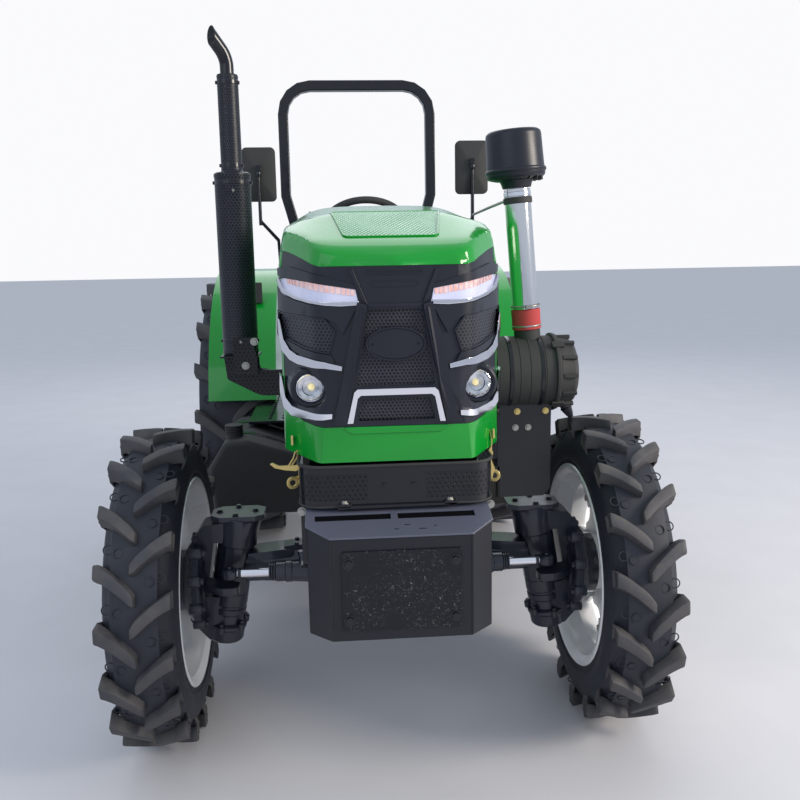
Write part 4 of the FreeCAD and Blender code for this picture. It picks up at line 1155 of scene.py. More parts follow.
def lean_in(mesh: bmesh.types.BMesh) -> None:
    """Leans the sides of the nose in above the lamps.

    Args:
        mesh: a copy of a node, with the front axle at Y = 0.
    """
    low, tall, most = 1.44, 0.12, 0.055
    rear, length = 0.75, 0.7
    for vert in mesh.verts:
        if vert.co.z > low:
            share = clamp((rear - vert.co.y) / length)
            vert.co.x *= 1 - most * share * clamp((vert.co.z - low) / tall) ** 1.5


@dataclass
class Hood:
    """The green one-piece hood with its lip, chin step, top mesh and side seals."""

    shoulder_x: float = 0.14
    shoulder_z: float = 1.42
    smooth_z: float = 1.488
    fall: float = 0.05
    seal_r: float = 0.005

    def build(self) -> None:
        """Builds the shell, its mesh and its seams."""
        dress_node("hood", GREEN, bevel=0.0018, segments=3, sharp=52, change=self.round_off)
        # The top mesh's pale green is partly a painted highlight for the sheen on the sheet.
        dress_node("top_mesh", GREEN_SHEET_SHEEN, bevel=0.001)
        step = skin_plate(across([(0.131, 1.0765), (0.127, 1.068), (0.1115, 1.058)]), -0.003, 0.008)
        step.finish("chin_step", "hood", GREEN, bevel=0.002, segments=3)
        rim = Shape()
        outline = rounded([(-0.118, -0.455, 0.018), (-0.152, -0.2, 0.018), (0.152, -0.2, 0.018),
                           (0.118, -0.455, 0.018)])
        places = [(x, y, 1.607 + (y + 0.257) * (0.313 if y < -0.257 else 0.16))
                  for x, y in densified(outline, 0.03)]
        rim.pipe(places + places[:1], 0.0028, 8, cap=False)
        rim.finish("top_mesh_rim", "hood", GREEN)
        seal = Shape()
        for side in (-1, 1):
            seal.pipe([(side * 0.294, -0.15, 1.17), (side * 0.335, 0.775, 1.17)], self.seal_r, 10)
        seal.finish("hood_seals", "hood", PLASTIC)

    def round_off(self, mesh: bmesh.types.BMesh) -> None:
        """Lets the top fall away towards its shoulders, and rounds them.

        Args:
            mesh: the hood's shell.
        """
        cuts = [(0, side * (0.14 + 0.011 * k)) for k in range(19) for side in (-1, 1)]
        cuts += [(1, -0.555 + 0.014 * k) for k in range(34)] + [(1, 0.0 + 0.075 * k) for k in range(10)]
        cuts += [(2, 1.486 + 0.011 * k) for k in range(16)]
        for axis, place in cuts:
            normal = Vector((axis == 0, axis == 1, axis == 2))
            high = [face for face in mesh.faces if max(vert.co.z for vert in face.verts) > 1.47]
            parts = {item for face in high for item in (face, *face.edges, *face.verts)}
            bmesh.ops.bisect_plane(
                mesh, geom=list(parts), plane_co=normal * place, plane_no=normal, dist=PLANE_MERGE)
        chin = [edge for edge in mesh.edges if max(vert.co.z for vert in edge.verts) < 1.1 and
                abs(edge.verts[0].co.z - edge.verts[1].co.z) > 0.03 and edge.calc_face_angle(0) > 0.3 and
                all(abs(face.normal.z) < 0.4 and face.calc_area() > 0.001 for face in edge.link_faces)]
        bmesh.ops.bevel(mesh, geom=chin, offset=0.022, segments=5, profile=0.5, affect="EDGES",
                        clamp_overlap=True)
        inside = Vector((0, 0.235, 1.3))
        loose = []
        for vert in mesh.verts:
            outward = [face.normal.dot(face.calc_center_median() - inside) > 0 and face.normal.z > -0.3 and
                       face.normal.y < 0.5 for face in vert.link_faces]
            inward = [face.normal.dot(face.calc_center_median() - inside) < 0 and face.normal.z < 0.3 and
                      face.normal.y > -0.5 for face in vert.link_faces]
            if vert.co.z > self.smooth_z and vert.co.y < 0.74 and (all(outward) or all(inward)):
                loose.append(vert)
        for vert in mesh.verts:
            x, y = abs(vert.co.x), vert.co.y
            if vert.co.z > self.shoulder_z and x > self.shoulder_x:
                share = clamp((y + 0.48) / 0.33) * clamp((0.75 - y) / 0.45)
                level = clamp((vert.co.z - self.shoulder_z) / 0.12)
                vert.co.z -= self.fall * ((x - self.shoulder_x) / 0.17) ** 1.5 * share * level
        lean_in(mesh)
        for _ in range(16):
            bmesh.ops.smooth_vert(
                mesh, verts=loose, factor=0.5, use_axis_x=True, use_axis_y=True, use_axis_z=True)


# Ballast box and wrap


@dataclass
class WeightBox:
    """The ballast box: folded plate with a sloping slotted lid and a bolted front plate."""

    face_y: float = -0.626
    low: float = 0.552
    half: float = 0.234
    face_half: float = 0.176
    rear_y: float = -0.47

    def lid_z(self, y: float) -> float:
        """Returns the height of the lid's underside."""
        return 0.86 + (y + 0.465) * 0.061 / 0.235

    def outline(self, grow: float) -> list[Point2]:
        """Returns the box's plan, grown at the front and the sides."""
        side, face = self.half + grow, self.face_half + grow * 0.4
        return [(-side, self.rear_y), (-side, self.face_y + 0.056), (-face, self.face_y - grow),
                (face, self.face_y - grow), (side, self.face_y + 0.056), (side, self.rear_y)]

    def build(self) -> None:
        """Builds the box, its lid, its plate and its bolts."""
        body = Shape().slab(self.outline(0.0), "plan", self.low, 0.9)
        body.move(lambda co: Vector((co.x, co.y, co.z if co.z < 0.7 else self.lid_z(co.y))))
        body.finish("weight_box_body", "chassis", COARSE, ["weight_box"], bevel=0.003, segments=3)
        self.lid()
        plate = Shape().slab(rounded(across([(0.15, 0.786, 0.008), (0.15, 0.58, 0.008)])), "front",
                             self.face_y, self.face_y - 0.005)
        plate.finish("weight_box_plate", "chassis", SCUFFED, bevel=0.001)
        seams = Shape()
        for x in (-self.face_half, self.face_half):
            seams.block((x - 0.0025, self.face_y - 0.002, self.low + 0.004),
                        (x + 0.0025, self.face_y + 0.004, 0.815))
        seams.block((-self.half, self.rear_y - 0.08, self.low - 0.003), (self.half, self.rear_y, self.low))
        seams.finish("weight_box_seams", "chassis", GLOSS_BLACK, bevel=0.001)
        bolts = Shape().bolts([(x, self.face_y - 0.005, z) for x in (-0.132, 0.132) for z in (0.61, 0.757)],
                              (0, -1, 0), 0.019, 0.0085)
        bolts.bolts([(x, -0.54, self.lid_z(-0.54) - 0.01) for x in (-0.16, -0.085, 0.061, 0.131)], (0, 0, 1),
                    0.02, 0.01)
        bolts.finish("weight_box_bolts", "chassis", GLOSS_BLACK)

    def lid(self) -> None:
        """Builds the lid with its two long slots over a painted shadow sheet, and four short slots drawn as
        black strips of painted shade.
        """
        lid = Shape()
        grow = self.outline(0.003)
        corners = {}

        def corner(x: float, y: float) -> bmesh.types.BMVert:
            """Returns the shared corner at a place."""
            key = (round(x, 5), round(y, 5))
            if key not in corners:
                corners[key] = lid.mesh.verts.new((x, y, 0))
            return corners[key]

        xs = [-0.213, -0.021, -0.003, 0.194]
        side, near, far = grow[4][0], -0.552, -0.524
        row = [-side, *xs, side]
        lid.mesh.faces.new(
            [corner(x, y) for x, y in [(-side, grow[1][1]), grow[2], grow[3], (side, grow[1][1])]] +
            [corner(x, near) for x in reversed(row)])
        for a, b in ((0, 1), (2, 3), (4, 5)):
            lid.mesh.faces.new([corner(row[a], near), corner(row[b], near), corner(row[b], far),
                                corner(row[a], far)])
        lid.mesh.faces.new([corner(x, far) for x in row] + [corner(side, -0.468), corner(-side, -0.468)])
        raised = set(points_in(bmesh.ops.extrude_face_region(lid.mesh, geom=lid.mesh.faces[:])["geom"]))
        for vert in lid.mesh.verts:
            vert.co.z = self.lid_z(vert.co.y) + (0.005 if vert in raised else 0.0)
        # The lid's lighter, bluish tone is partly painted skylight on its top face.
        lid.finish("weight_box_lid", "chassis", LID_SKYLIT, bevel=0.0012)
        # A near-black sheet under the long slots: painted shadow for the dark inside the box.
        floor = Shape().slab(
            [(-0.215, -0.556), (0.215, -0.556), (0.215, -0.518), (-0.215, -0.518)], "plan", 0.0, 0.001)
        floor.move(lambda co: Vector((co.x, co.y, co.z + self.lid_z(co.y) + 0.0005)))
        floor.finish("weight_box_slot_shadow", "chassis", SHADOW)
        # The four short slots are black strips on the lid: painted shade for the dark inside them.
        dark = Shape()
        for x, y, length in ((-0.01, -0.599, 0.012), (0.018, -0.582, 0.014), (0.055, -0.601, 0.018),
                             (0.088, -0.591, 0.006)):
            outline = rounded_box((x - length / 2, y - 0.0015), (x + length / 2, y + 0.0015), 0.001)
            dark.slab(outline, "plan", self.lid_z(y) + 0.004, self.lid_z(y) + 0.0055)
        dark.finish("weight_box_short_slot_shade", "chassis", GLOSS_BLACK)


@dataclass
class Wrap:
    """The punched sheet round the nose's foot, its lip, the cross bar, the side posts and the catches."""

    half: float = 0.252
    front: float = -0.512
    low: float = 0.8625
    high: float = 0.972

    def path(self, inset: float) -> list[Point2]:
        """Returns the sheet's plan from the right rear round to the left rear."""
        half, front = self.half - inset, self.front + inset
        return rounded([(-half, -0.28), (-half, front, 0.06 - inset), (half, front, 0.06 - inset),
                        (half, -0.28)])

    def build(self) -> None:
        """Builds the sheet and what is fixed to it."""
        sheet = Shape().slab(self.path(0.0) + self.path(0.004)[::-1], "plan", self.low, self.high)
        sheet.finish("wrap_sheet", "chassis", GLOSS_BLACK, ["nose_wrap"], bevel=0.0008)
        for side, name in ((-1, "right"), (1, "left")):
            outer, inner = (
                [point for point in densified(self.path(inset), 0.012) if side * point[0] > 0.07 and
                 point[1] < -0.455] for inset in (-0.0006, -0.0001))
            dots = Shape().slab(outer + inner[::-1], "plan", self.low + 0.02, self.high - 0.022)
            dots.finish(f"wrap_dots_{name}", "chassis", BAND)
        lip = Shape()
        for inset, z, radius in ((-0.001, self.high - 0.001, 0.0045), (-0.0005, self.low + 0.003, 0.003)):
            lip.pipe([(x, y, z) for x, y in self.path(inset)], radius, 10)
        lip.finish("wrap_lips", "chassis", PLASTIC)
        bar = Shape().block((-0.152, -0.5215, 0.8635), (0.152, -0.494, 0.8695))
        bar.block((-0.152, -0.5215, 0.8635), (-0.12, -0.494, 0.874))
        bar.block((0.12, -0.5215, 0.8635), (0.152, -0.494, 0.874))
        for side in (-1, 1):
            bar.block((side * 0.236, -0.474, 0.7), (side * 0.25, -0.446, 0.862))
            bar.block((side * 0.236, -0.474, 0.69), (side * 0.256, -0.44, 0.7))
        bar.finish("nose_bar", "chassis", GLOSS_BLACK, bevel=0.002)
        bolts = Shape().bolts(
            [(-0.034, self.front, 0.919), (0.042, self.front, 0.919)], (0, -1, 0), 0.011, 0.006)
        bolts.finish("wrap_bolts", "chassis", GLOSS_BLACK)
        bolts = Shape().bolts([(x, -0.508, 0.874) for x in (-0.136, 0.136)], (0, 0, 1), 0.014, 0.007)
        bolts.bolts([(side * 0.2475, -0.474, 0.846) for side in (-1, 1)], (0, -1, 0), 0.015, 0.008)
        bolts.finish("nose_bolts", "chassis", BOLT)
        self.catches()

    def catches(self) -> None:
        """Builds the toggle catches: the left one shut, the right one hanging open."""
        shut = Shape()
        for side in (-1, 1):
            shut.slab([(-0.402, 0.9), (-0.366, 0.9), (-0.366, 0.962), (-0.374, 0.972), (-0.402, 0.972)],
                      "side", side * self.half, side * (self.half + 0.004))
            shut.turn([(0.0085, -0.003), (0.0165, -0.003), (0.0175, 0.0), (0.0165, 0.003), (0.0085, 0.003),
                       (0.0075, 0.0)], (side * (self.half + 0.02), -0.398, 0.903), (0.25 * side, 1, 0), 32,
                      closed=True)
            shut.pipe([(side * (self.half + 0.003), -0.39, 0.918),
                       (side * (self.half + 0.015), -0.396, 0.914)], 0.004, 10)
        shut.slab([(0.256, 0.896), (0.266, 0.9), (0.272, 0.926), (0.263, 0.948), (0.268, 0.968),
                   (0.261, 0.984), (0.255, 0.978)], "front", -0.408, -0.4)
        shut.slab(
            [(-0.254, 0.942), (-0.262, 0.937), (-0.29, 0.94), (-0.318, 0.947), (-0.33, 0.958),
             (-0.322, 0.962), (-0.306, 0.953), (-0.262, 0.953), (-0.254, 0.958)], "front", -0.408, -0.402)
        shut.finish("catches", "chassis", ZINC, ["nose_latches"], bevel=0.0012, sharp=40)
        bail = Shape()
        bail.pipe([(0.262, -0.404, 0.972), (0.264, -0.405, 1.004), (0.259, -0.402, 1.03),
                   (0.252, -0.398, 1.01)], 0.0022, 8)
        bail.pipe([(-0.282, -0.405, 0.95), (-0.268, -0.41, 0.972), (-0.262, -0.412, 0.99),
                   (-0.254, -0.408, 0.994), (-0.258, -0.404, 0.972), (-0.274, -0.402, 0.95)], 0.0022, 8)
        bail.finish("catch_wires", "chassis", ZINC)
        hooks = Shape()
        for side in (-1, 1):
            hooks.slab([(-0.41, 1.008), (-0.392, 1.008), (-0.392, 1.03), (-0.404, 1.034)], "side",
                       side * 0.266, side * 0.272)
        hooks.finish("hood_hooks", "hood", ZINC, bevel=0.001)


# Exhaust and intake


@dataclass
class Exhaust:
    """The stack on the right side: punched shields, a bent tip and the bracket under it."""

    x: float = -0.453
    y: float = 0.15

    def build(self) -> None:
        """Builds the shields, the tip and the bracket."""
        foot = (self.x, self.y, 0)
        shield = Shape().turn(
            [(0.0253, 1.19), (0.053, 1.19), (0.056, 1.194), (0.0575, 1.2), (0.056, 1.206), (0.056, 1.742),
             (0.0575, 1.747), (0.057, 1.755), (0.05, 1.759), (0.036, 1.76), (0.0328, 1.765), (0.0322, 2.038),
             (0.033, 2.044), (0.0315, 2.049), (0.0215, 2.049)], foot, (0, 0, 1), 56, closed=True)
        shield.map_round(foot, 0.05)
        shield.finish("exhaust_shields", "chassis", SHIELD, ["exhaust_shield"])
        bands = Shape()
        for radius, z in ((0.0568, 1.235), (0.0568, 1.728), (0.033, 1.78), (0.033, 2.026)):
            bands.turn([(radius - 0.002, -0.007), (radius, -0.006), (radius, 0.006),
                        (radius - 0.002, 0.007)], (self.x, self.y, z), (0, 0, 1), 48)
            for way in (-1, 1):
                bands.block((self.x + way * radius - 0.004, self.y - 0.01, z - 0.005),
                            (self.x + way * radius + 0.004, self.y - 0.002, z + 0.005))
        bands.finish("exhaust_bands", "chassis", GLOSS_BLACK, bevel=0.001)
        self.tip()
        plate = Shape().slab(rounded(
            [(self.x - 0.052, 1.184, 0.006), (self.x + 0.06, 1.184, 0.006), (self.x + 0.06, 1.14, 0.02),
             (-0.2, 1.14), (-0.2, 1.056), (self.x + 0.06, 1.056, 0.09), (self.x - 0.044, 1.112, 0.012)]),
            "front", self.y - 0.03, self.y - 0.024)
        plate.slab([(self.x - 0.06, 1.184), (self.x + 0.06, 1.184), (self.x + 0.06, 1.19),
                    (self.x - 0.06, 1.19)], "front", self.y - 0.06, self.y + 0.06)
        plate.finish("exhaust_shelf", "chassis", BAND, ["exhaust_bracket"], bevel=0.001)
        guard = Shape().slab(rounded(
            [(-0.47, 1.13, 0.004), (-0.395, 1.13, 0.004), (-0.395, 1.182, 0.004), (-0.41, 1.25, 0.008),
             (-0.47, 1.25, 0.008)]), "front", self.y - 0.07, self.y - 0.066)
        guard.finish("exhaust_guard", "chassis", BAND, bevel=0.001)
        bolts = Shape().bolts([(self.x + 0.02, self.y - 0.07, 1.16), (self.x + 0.05, self.y - 0.07, 1.236)],
                              (0, -1, 0), 0.016, 0.008)
        for z in (1.235, 1.7):
            bolts.bolts([(self.x + 0.006, self.y - 0.067, z)], (1, 0, 0), 0.01, 0.006)
        bolts.finish("exhaust_bolts", "chassis", BOLT)

    def tip(self) -> None:
        """Builds the pipe, which bends forward to the right and is cut upright at its mouth."""
        way, bend_r, bend_z = Vector((-0.75, -0.66, 0.0)), 0.075, 2.071
        start = Vector((self.x, self.y, 0))
        path = [start + UP * z for z in (1.19, 1.6, 2.0, 2.05)]
        for angle in map(math.radians, range(4, 47, 6)):
            path.append(start + way * bend_r * (1 - math.cos(angle)) +
                        UP * (bend_z + bend_r * math.sin(angle)))
        path.append(path[-1] + (path[-1] - path[-2]).normalized() * 0.09)
        pipe = Shape().pipe(path, 0.0212, 32, cap=False)
        pipe.absorb(Shape().pipe(path, 0.019, 32, cap=False))
        pipe.cut(start + way * 0.051 + UP * 2.152, way + UP * 0.04, clear=True)
        ends = [edge for edge in pipe.mesh.edges if edge.is_boundary]
        for high in (False, True):
            bmesh.ops.bridge_loops(pipe.mesh, edges=[e for e in ends if (e.verts[0].co.z > 1.5) == high])
        pipe.finish("exhaust_tip", "chassis", GLOSS_BLACK, ["exhaust_pipe"])


@dataclass
class Intake:
    """The air cleaner on the left side, the leaning intake pipe and the bowl on top."""

    foot_x: float = 0.461
    lean: float = 0.08
    z: float = 1.126
    inner_x: float = 0.334
    radius: float = 0.114
    pipe_r: float = 0.04

    def axis(self, z: float) -> Point3:
        """Returns the pipe's middle at a height."""
        return (self.foot_x - (z - self.z) * self.lean, 0.0, z)

    def stack(self, profile: Sequence[Point2], base: float, segments: int = 56,
              closed: bool = False) -> Shape:
        """Turns a profile round the pipe's axis, from the height base."""
        return Shape().turn(profile, self.axis(base), (-self.lean, 0, 1), segments, closed)

    def build(self) -> None:
        """Builds the cleaner, the pipe, the bowl and the bracket."""
        self.cleaner()
        sleeve = self.stack([(0.0415, 0.0), (0.0445, 0.001), (0.045, 0.01), (0.044, 0.032), (0.045, 0.054),
                             (0.0445, 0.062), (0.0415, 0.063)], self.z + 0.1363, closed=True)
        sleeve.finish("intake_hose", "chassis", HOSE, ["intake_sleeve"])
        pipe = self.stack([(0, 0), (self.pipe_r, 0.0), (self.pipe_r, 0.362), (0, 0.362)], self.z + 0.2003)
        pipe.finish("intake_tube", "chassis", STEEL, ["intake_pipe"], sharp=40)
        wires = Shape()
        for height in (0.144, 0.205):
            wires.absorb(self.stack(
                [(0.0445, 0.0), (0.0462, 0.0015), (0.0462, 0.005), (0.0445, 0.0065)], self.z + height, 48))
        x, _, z = self.axis(self.z + 0.208)
        wires.block((x - 0.01, -0.056, z - 0.006), (x + 0.01, -0.044, z + 0.004))
        wires.finish("intake_clamps", "chassis", BOLT, bevel=0.0008)
        ring = self.stack([(0.04, 0.0), (0.0435, 0.002), (0.0435, 0.018), (0.04, 0.02)], self.z + 0.518)
        ring.finish("intake_ring", "chassis", PLASTIC)
        collar = self.stack([(0.04, 0.0), (0.0415, 0.001), (0.0415, 0.012), (0.04, 0.013)], self.z + 0.54)
        collar.finish("intake_collar", "chassis", CHROME)
        bowl = self.stack([
            (0, 0.001), (0.043, 0.001), (0.046, 0.012), (0.05, 0.022), (0.064, 0.024), (0.084, 0.03),
            (0.088, 0.036), (0.0885, 0.044), (0.0915, 0.047), (0.0925, 0.052), (0.0905, 0.056),
            (0.0875, 0.058), (0.0865, 0.066), (0.0835, 0.154), (0.0815, 0.162), (0.074, 0.168),
            (0.04, 0.171), (0, 0.172)], self.z + 0.564)
        bowl.finish("pre_cleaner_bowl", "chassis", SATIN, ["pre_cleaner"], sharp=40)
        vanes = Shape()
        for angle in turns(18):
            vane = Shape().block((-0.002, 0.052, -0.006), (0.002, 0.08, 0.008)).spun(angle, "Z")
            vanes.absorb(vane.shifted(self.axis(self.z + 0.594)))
        vanes.finish("pre_cleaner_vanes", "chassis", PLASTIC, bevel=0.0005, segments=1)

    def cleaner(self) -> None:
        """Builds the air cleaner's ribbed body, its cap, its dust valve and its bracket."""
        x0, r = self.inner_x, self.radius
        profile = [(0, 0), (r - 0.004, 0), (r, 0.004)]
        for start in (0.04, 0.072, 0.104, 0.152):
            profile.extend([(r, start), (r - 0.0015, start + 0.001), (r - 0.0015, start + 0.002),
                            (r, start + 0.003)])
        profile.extend(
            [(r, 0.184), (r + 0.004, 0.186), (r + 0.008, 0.188), (r + 0.008, 0.196), (r + 0.005, 0.199),
             (r + 0.005, 0.203), (r - 0.004, 0.206), (r - 0.006, 0.212), (r - 0.012, 0.246),
             (r - 0.02, 0.256), (r - 0.034, 0.262), (r - 0.06, 0.264), (0, 0.264)])
        body = Shape().turn(profile, (x0, 0, self.z), (1, 0, 0), 72)
        spout = self.stack([(0.046, 0.0), (0.0405, 0.022), (0.0405, 0.1355), (0, 0.1355)], self.z)
        body.absorb(spout)
        body.finish("air_cleaner_body", "chassis", PLASTIC, ["air_cleaner"], sharp=24)
        trim = Shape()
        for angles, low, high in ((turns(12), (0.206, -0.006, -0.012), (0.252, 0.006, 0.001)),
                                  ((0.7, 2.4, 4.2), (0.176, -0.011, 0.002), (0.214, 0.011, 0.012))):
            for angle in angles:
                piece = Shape().block(low, high).shifted((x0, 0, r)).spun(angle, "X")
                trim.absorb(piece.shifted((0, 0, self.z)))
        trim.finish("air_cleaner_ribs", "chassis", PLASTIC, bevel=0.002)
        start = Vector((x0 + 0.228, 0, self.z - 0.088))
        way = Vector((0.04, 0, -0.07))
        valve = Shape().turn(
            [(0, 0), (0.019, 0.0), (0.019, 0.012), (0.016, 0.014), (0.016, 0.03), (0.019, 0.033),
             (0.017, 0.04), (0.012, 0.058), (0.007, 0.07), (0, 0.072)], start, way, 28)
        valve.finish("dust_valve", "chassis", RUBBER)
        left, right = x0 + 0.018, x0 + 0.18
        plate = Shape().slab([(left, self.z - 0.106), (left, 0.74), (right - 0.022, 0.74), (right, 0.764),
                              (right, self.z - 0.106)], "front", -0.064, -0.059)
        plate.slab(rounded([(left, self.z - 0.126), (left, self.z - 0.09),
                            (left + 0.03, self.z - 0.06, 0.01), (right - 0.03, self.z - 0.06, 0.01),
                            (right, self.z - 0.09), (right, self.z - 0.126)]), "front", -0.0655, -0.0645)
        plate.block((0.232, -0.064, 0.79), (left, 0.04, 0.84))
        plate.block((left - 0.006, -0.064, 0.79), (left, 0.04, self.z - 0.118))
        plate.finish("cleaner_plate", "chassis", GLOSS_BLACK, ["cleaner_bracket"], bevel=0.0015)
        straps = Shape()
        for x in (left + 0.03, right - 0.036):
            straps.turn([(r + 0.0004, -0.006), (r + 0.0014, -0.005), (r + 0.0014, 0.005),
                         (r + 0.0004, 0.006)], (x, 0, self.z), (1, 0, 0), 64, closed=True)
        straps.finish("cleaner_straps", "chassis", GLOSS_BLACK)
        bolts = Shape().bolts(
            [(left + 0.055, -0.0655, 1.013), (right - 0.018, -0.0655, 1.013)], (0, -1, 0), 0.013, 0.007)
        bolts.finish("cleaner_bolts_gold", "chassis", ZINC)
        bolts = Shape().bolts(
            [(left + 0.05, -0.064, 0.962), (left + 0.09, -0.064, 0.962)], (0, -1, 0), 0.013, 0.007)
        bolts.finish("cleaner_bolts", "chassis", BOLT)


# Front axle


@dataclass
class FrontAxle:
    """The kingpin housings with their drive cases, the beam's covers and the steering cylinder."""

    kingpin_x: float = 0.5
    lean: float = 9.4
    steer_z: float = 0.546
    steer_y: float = -0.115
    side_x: float = 0.57
    ear_r: float = 0.139
    low_ears: tuple = (0.5, 1.6, 2.7, 3.8, 4.9)

    def pin_x(self, z: float) -> float:
        """Returns the kingpin's x at a height, on the left side."""
        return self.kingpin_x - (z - FRONT_R) * math.tan(math.radians(self.lean))

    def on_pin(self, profile: Sequence[tuple[float, float]], segments: int = 40) -> Shape:
        """Turns (height, radius) steps round the kingpin."""
        slope = 1 / math.cos(math.radians(self.lean))
        start = profile[0][0]
        return Shape().turn(
            [(radius, (z - start) * slope) for z, radius in profile], (self.pin_x(start), 0, start),
            (-math.tan(math.radians(self.lean)), 0, 1), segments)

    def build(self) -> None:
        """Builds both ends, then the beam and the cylinder."""
        for body in ("knuckle_left", "knuckle_right"):
            housing, bolts = self.housing(), self.housing_bolts()
            if body == "knuckle_right":
                housing.mirror(keep=False)
                bolts.mirror(keep=False)
            housing.finish(f"{body}_casting", body, CASTING, [body], bevel=0.004, segments=3, sharp=28)
            bolts.finish(f"{body}_bolts", body, CASTING)
        self.beam()
        self.cylinder()

    def housing(self) -> Shape:
        """Builds the left swivel housing: cap, leaning casings, cheek, drive case and steering arm."""
        side_x = self.side_x
        shape = self.on_pin([(0.6046, 0.0), (0.6046, 0.06), (0.608, 0.0635), (0.64, 0.064), (0.69, 0.068),
                             (0.696, 0.066), (0.696, 0.0)])
        shape.absorb(self.on_pin(
            [(0.287, 0.0), (0.287, 0.046), (0.292, 0.054), (0.298, 0.0585), (0.33, 0.0595), (0.335, 0.064),
             (0.345, 0.064), (0.349, 0.059), (0.353, 0.052), (0.378, 0.051), (0.382, 0.056), (0.4, 0.057),
             (0.404, 0.0535), (0.409, 0.0535), (0.413, 0.057), (0.4514, 0.057), (0.4514, 0.0)]))
        x = self.pin_x(0.708)
        shape.slab([(x - 0.078, -0.04), (x - 0.05, -0.062), (x + 0.06, -0.062), (x + 0.088, -0.036),
                    (x + 0.088, 0.036), (x + 0.06, 0.062), (x - 0.05, 0.062), (x - 0.078, 0.04)],
                   "plan", 0.692, 0.708)
        shape.slab(rounded([
            (self.pin_x(0.692), 0.692), (side_x + 0.01, 0.678, 0.02), (side_x + 0.062, 0.6, 0.03),
            (side_x + 0.062, 0.372, 0.03), (self.pin_x(0.31) + 0.044, 0.304), (self.pin_x(0.304), 0.304),
            (self.pin_x(0.44), 0.44), (self.pin_x(0.44) + 0.066, 0.449), (self.pin_x(0.624) + 0.068, 0.624),
            (self.pin_x(0.624), 0.616)]), "front", -0.05, 0.05)
        face = 0.6685 - side_x
        shape.turn([(0, 0.004), (0.09, 0.004), (0.098, 0.01), (0.134, 0.012), (0.142, 0.017), (0.142, 0.036),
                    (0.138, 0.041), (0.121, 0.056), (0.117, 0.06), (0.1, 0.066), (0.097, 0.072),
                    (0.097, face - 0.0005), (0, face - 0.0005)], (side_x, 0, FRONT_R), (1, 0, 0), 56)
        for angle in turns(10, 0.5):
            ear = Shape().turn([(0, 0.008), (0.017, 0.008), (0.018, 0.01), (0.018, 0.044), (0.016, 0.046),
                                (0, 0.046)], (side_x, 0, 0), (1, 0, 0), 14)
            shape.absorb(
                ear.shifted((0, self.ear_r * math.cos(angle), FRONT_R + self.ear_r * math.sin(angle))))
        for angle in self.low_ears:
            ear = self.on_pin([(0.33, 0.0), (0.33, 0.013), (0.35, 0.013), (0.35, 0.0)], 12)
            shape.absorb(ear.shifted((0.062 * math.cos(angle), 0.062 * math.sin(angle), 0)))
        eye_x = self.pin_x(self.steer_z)
        top = self.steer_z - 0.037
        shape.slab(rounded(
            [(eye_x - 0.027, self.steer_y - 0.027, 0.022), (eye_x + 0.027, self.steer_y - 0.027, 0.022),
             (side_x + 0.04, -0.07), (side_x + 0.04, -0.03), (eye_x + 0.076, -0.036),
             (eye_x - 0.027, -0.09, 0.016)]), "plan", top - 0.024, top)
        return shape

    def housing_bolts(self) -> Shape:
        """Builds the bolts on the cap, the case, the cheek and the lower cover of the left housing."""
        side_x = self.side_x
        x = self.pin_x(0.708)
        shape = Shape().bolts([(x - 0.048, 0.0, 0.708), (x + 0.01, -0.046, 0.708), (x + 0.01, 0.046, 0.708),
                               (x + 0.064, 0.0, 0.708)], (0, 0, 1), 0.015, 0.008)
        shape.bolts([(side_x + 0.008, self.ear_r * math.cos(angle), FRONT_R + self.ear_r * math.sin(angle))
                     for angle in turns(10, 0.5)], (-1, 0, 0), 0.017, 0.01)
        shape.bolts([(side_x + 0.03, -0.05, z) for z in (0.4, 0.47, 0.59, 0.64)], (0, -1, 0), 0.016, 0.009)
        shape.turn([(0.02, 0.0), (0.02, 0.004), (0.013, 0.005), (0.012, 0.003), (0, 0.003)],
                   (side_x + 0.03, -0.05, 0.53), (0, -1, 0), 24)
        at = self.pin_x(0.35)
        for angle in self.low_ears:
            shape.bolts([(at + 0.062 * math.cos(angle), 0.062 * math.sin(angle), 0.35)], (0, 0, 1),
                        0.013, 0.008)
        return shape

    def beam(self) -> None:
        """Dresses the beam and adds its bolts and a filler plug."""
        dress_node("front_axle", CASTING, bevel=0.007, segments=4, sharp=24)
        bolts = Shape()
        for side in (-1, 1):
            bolts.bolts([(side * x, y, 0.598) for x in (0.18, 0.29) for y in (-0.022, 0.022)], (0, 0, 1),
                        0.015, 0.009)
        bolts.bolts([(0.092 * math.cos(angle), -0.0705, 0.5 + 0.092 * math.sin(angle))
                     for angle in turns(10, 0.5)], (0, -1, 0), 0.014, 0.008)
        bolts.turn([(0.018, 0.0), (0.018, 0.008), (0.01, 0.009), (0, 0.009)], (0.0, -0.0715, 0.472),
                   (0, -1, 0), 6)
        bolts.finish("front_axle_bolts", "chassis", CASTING)

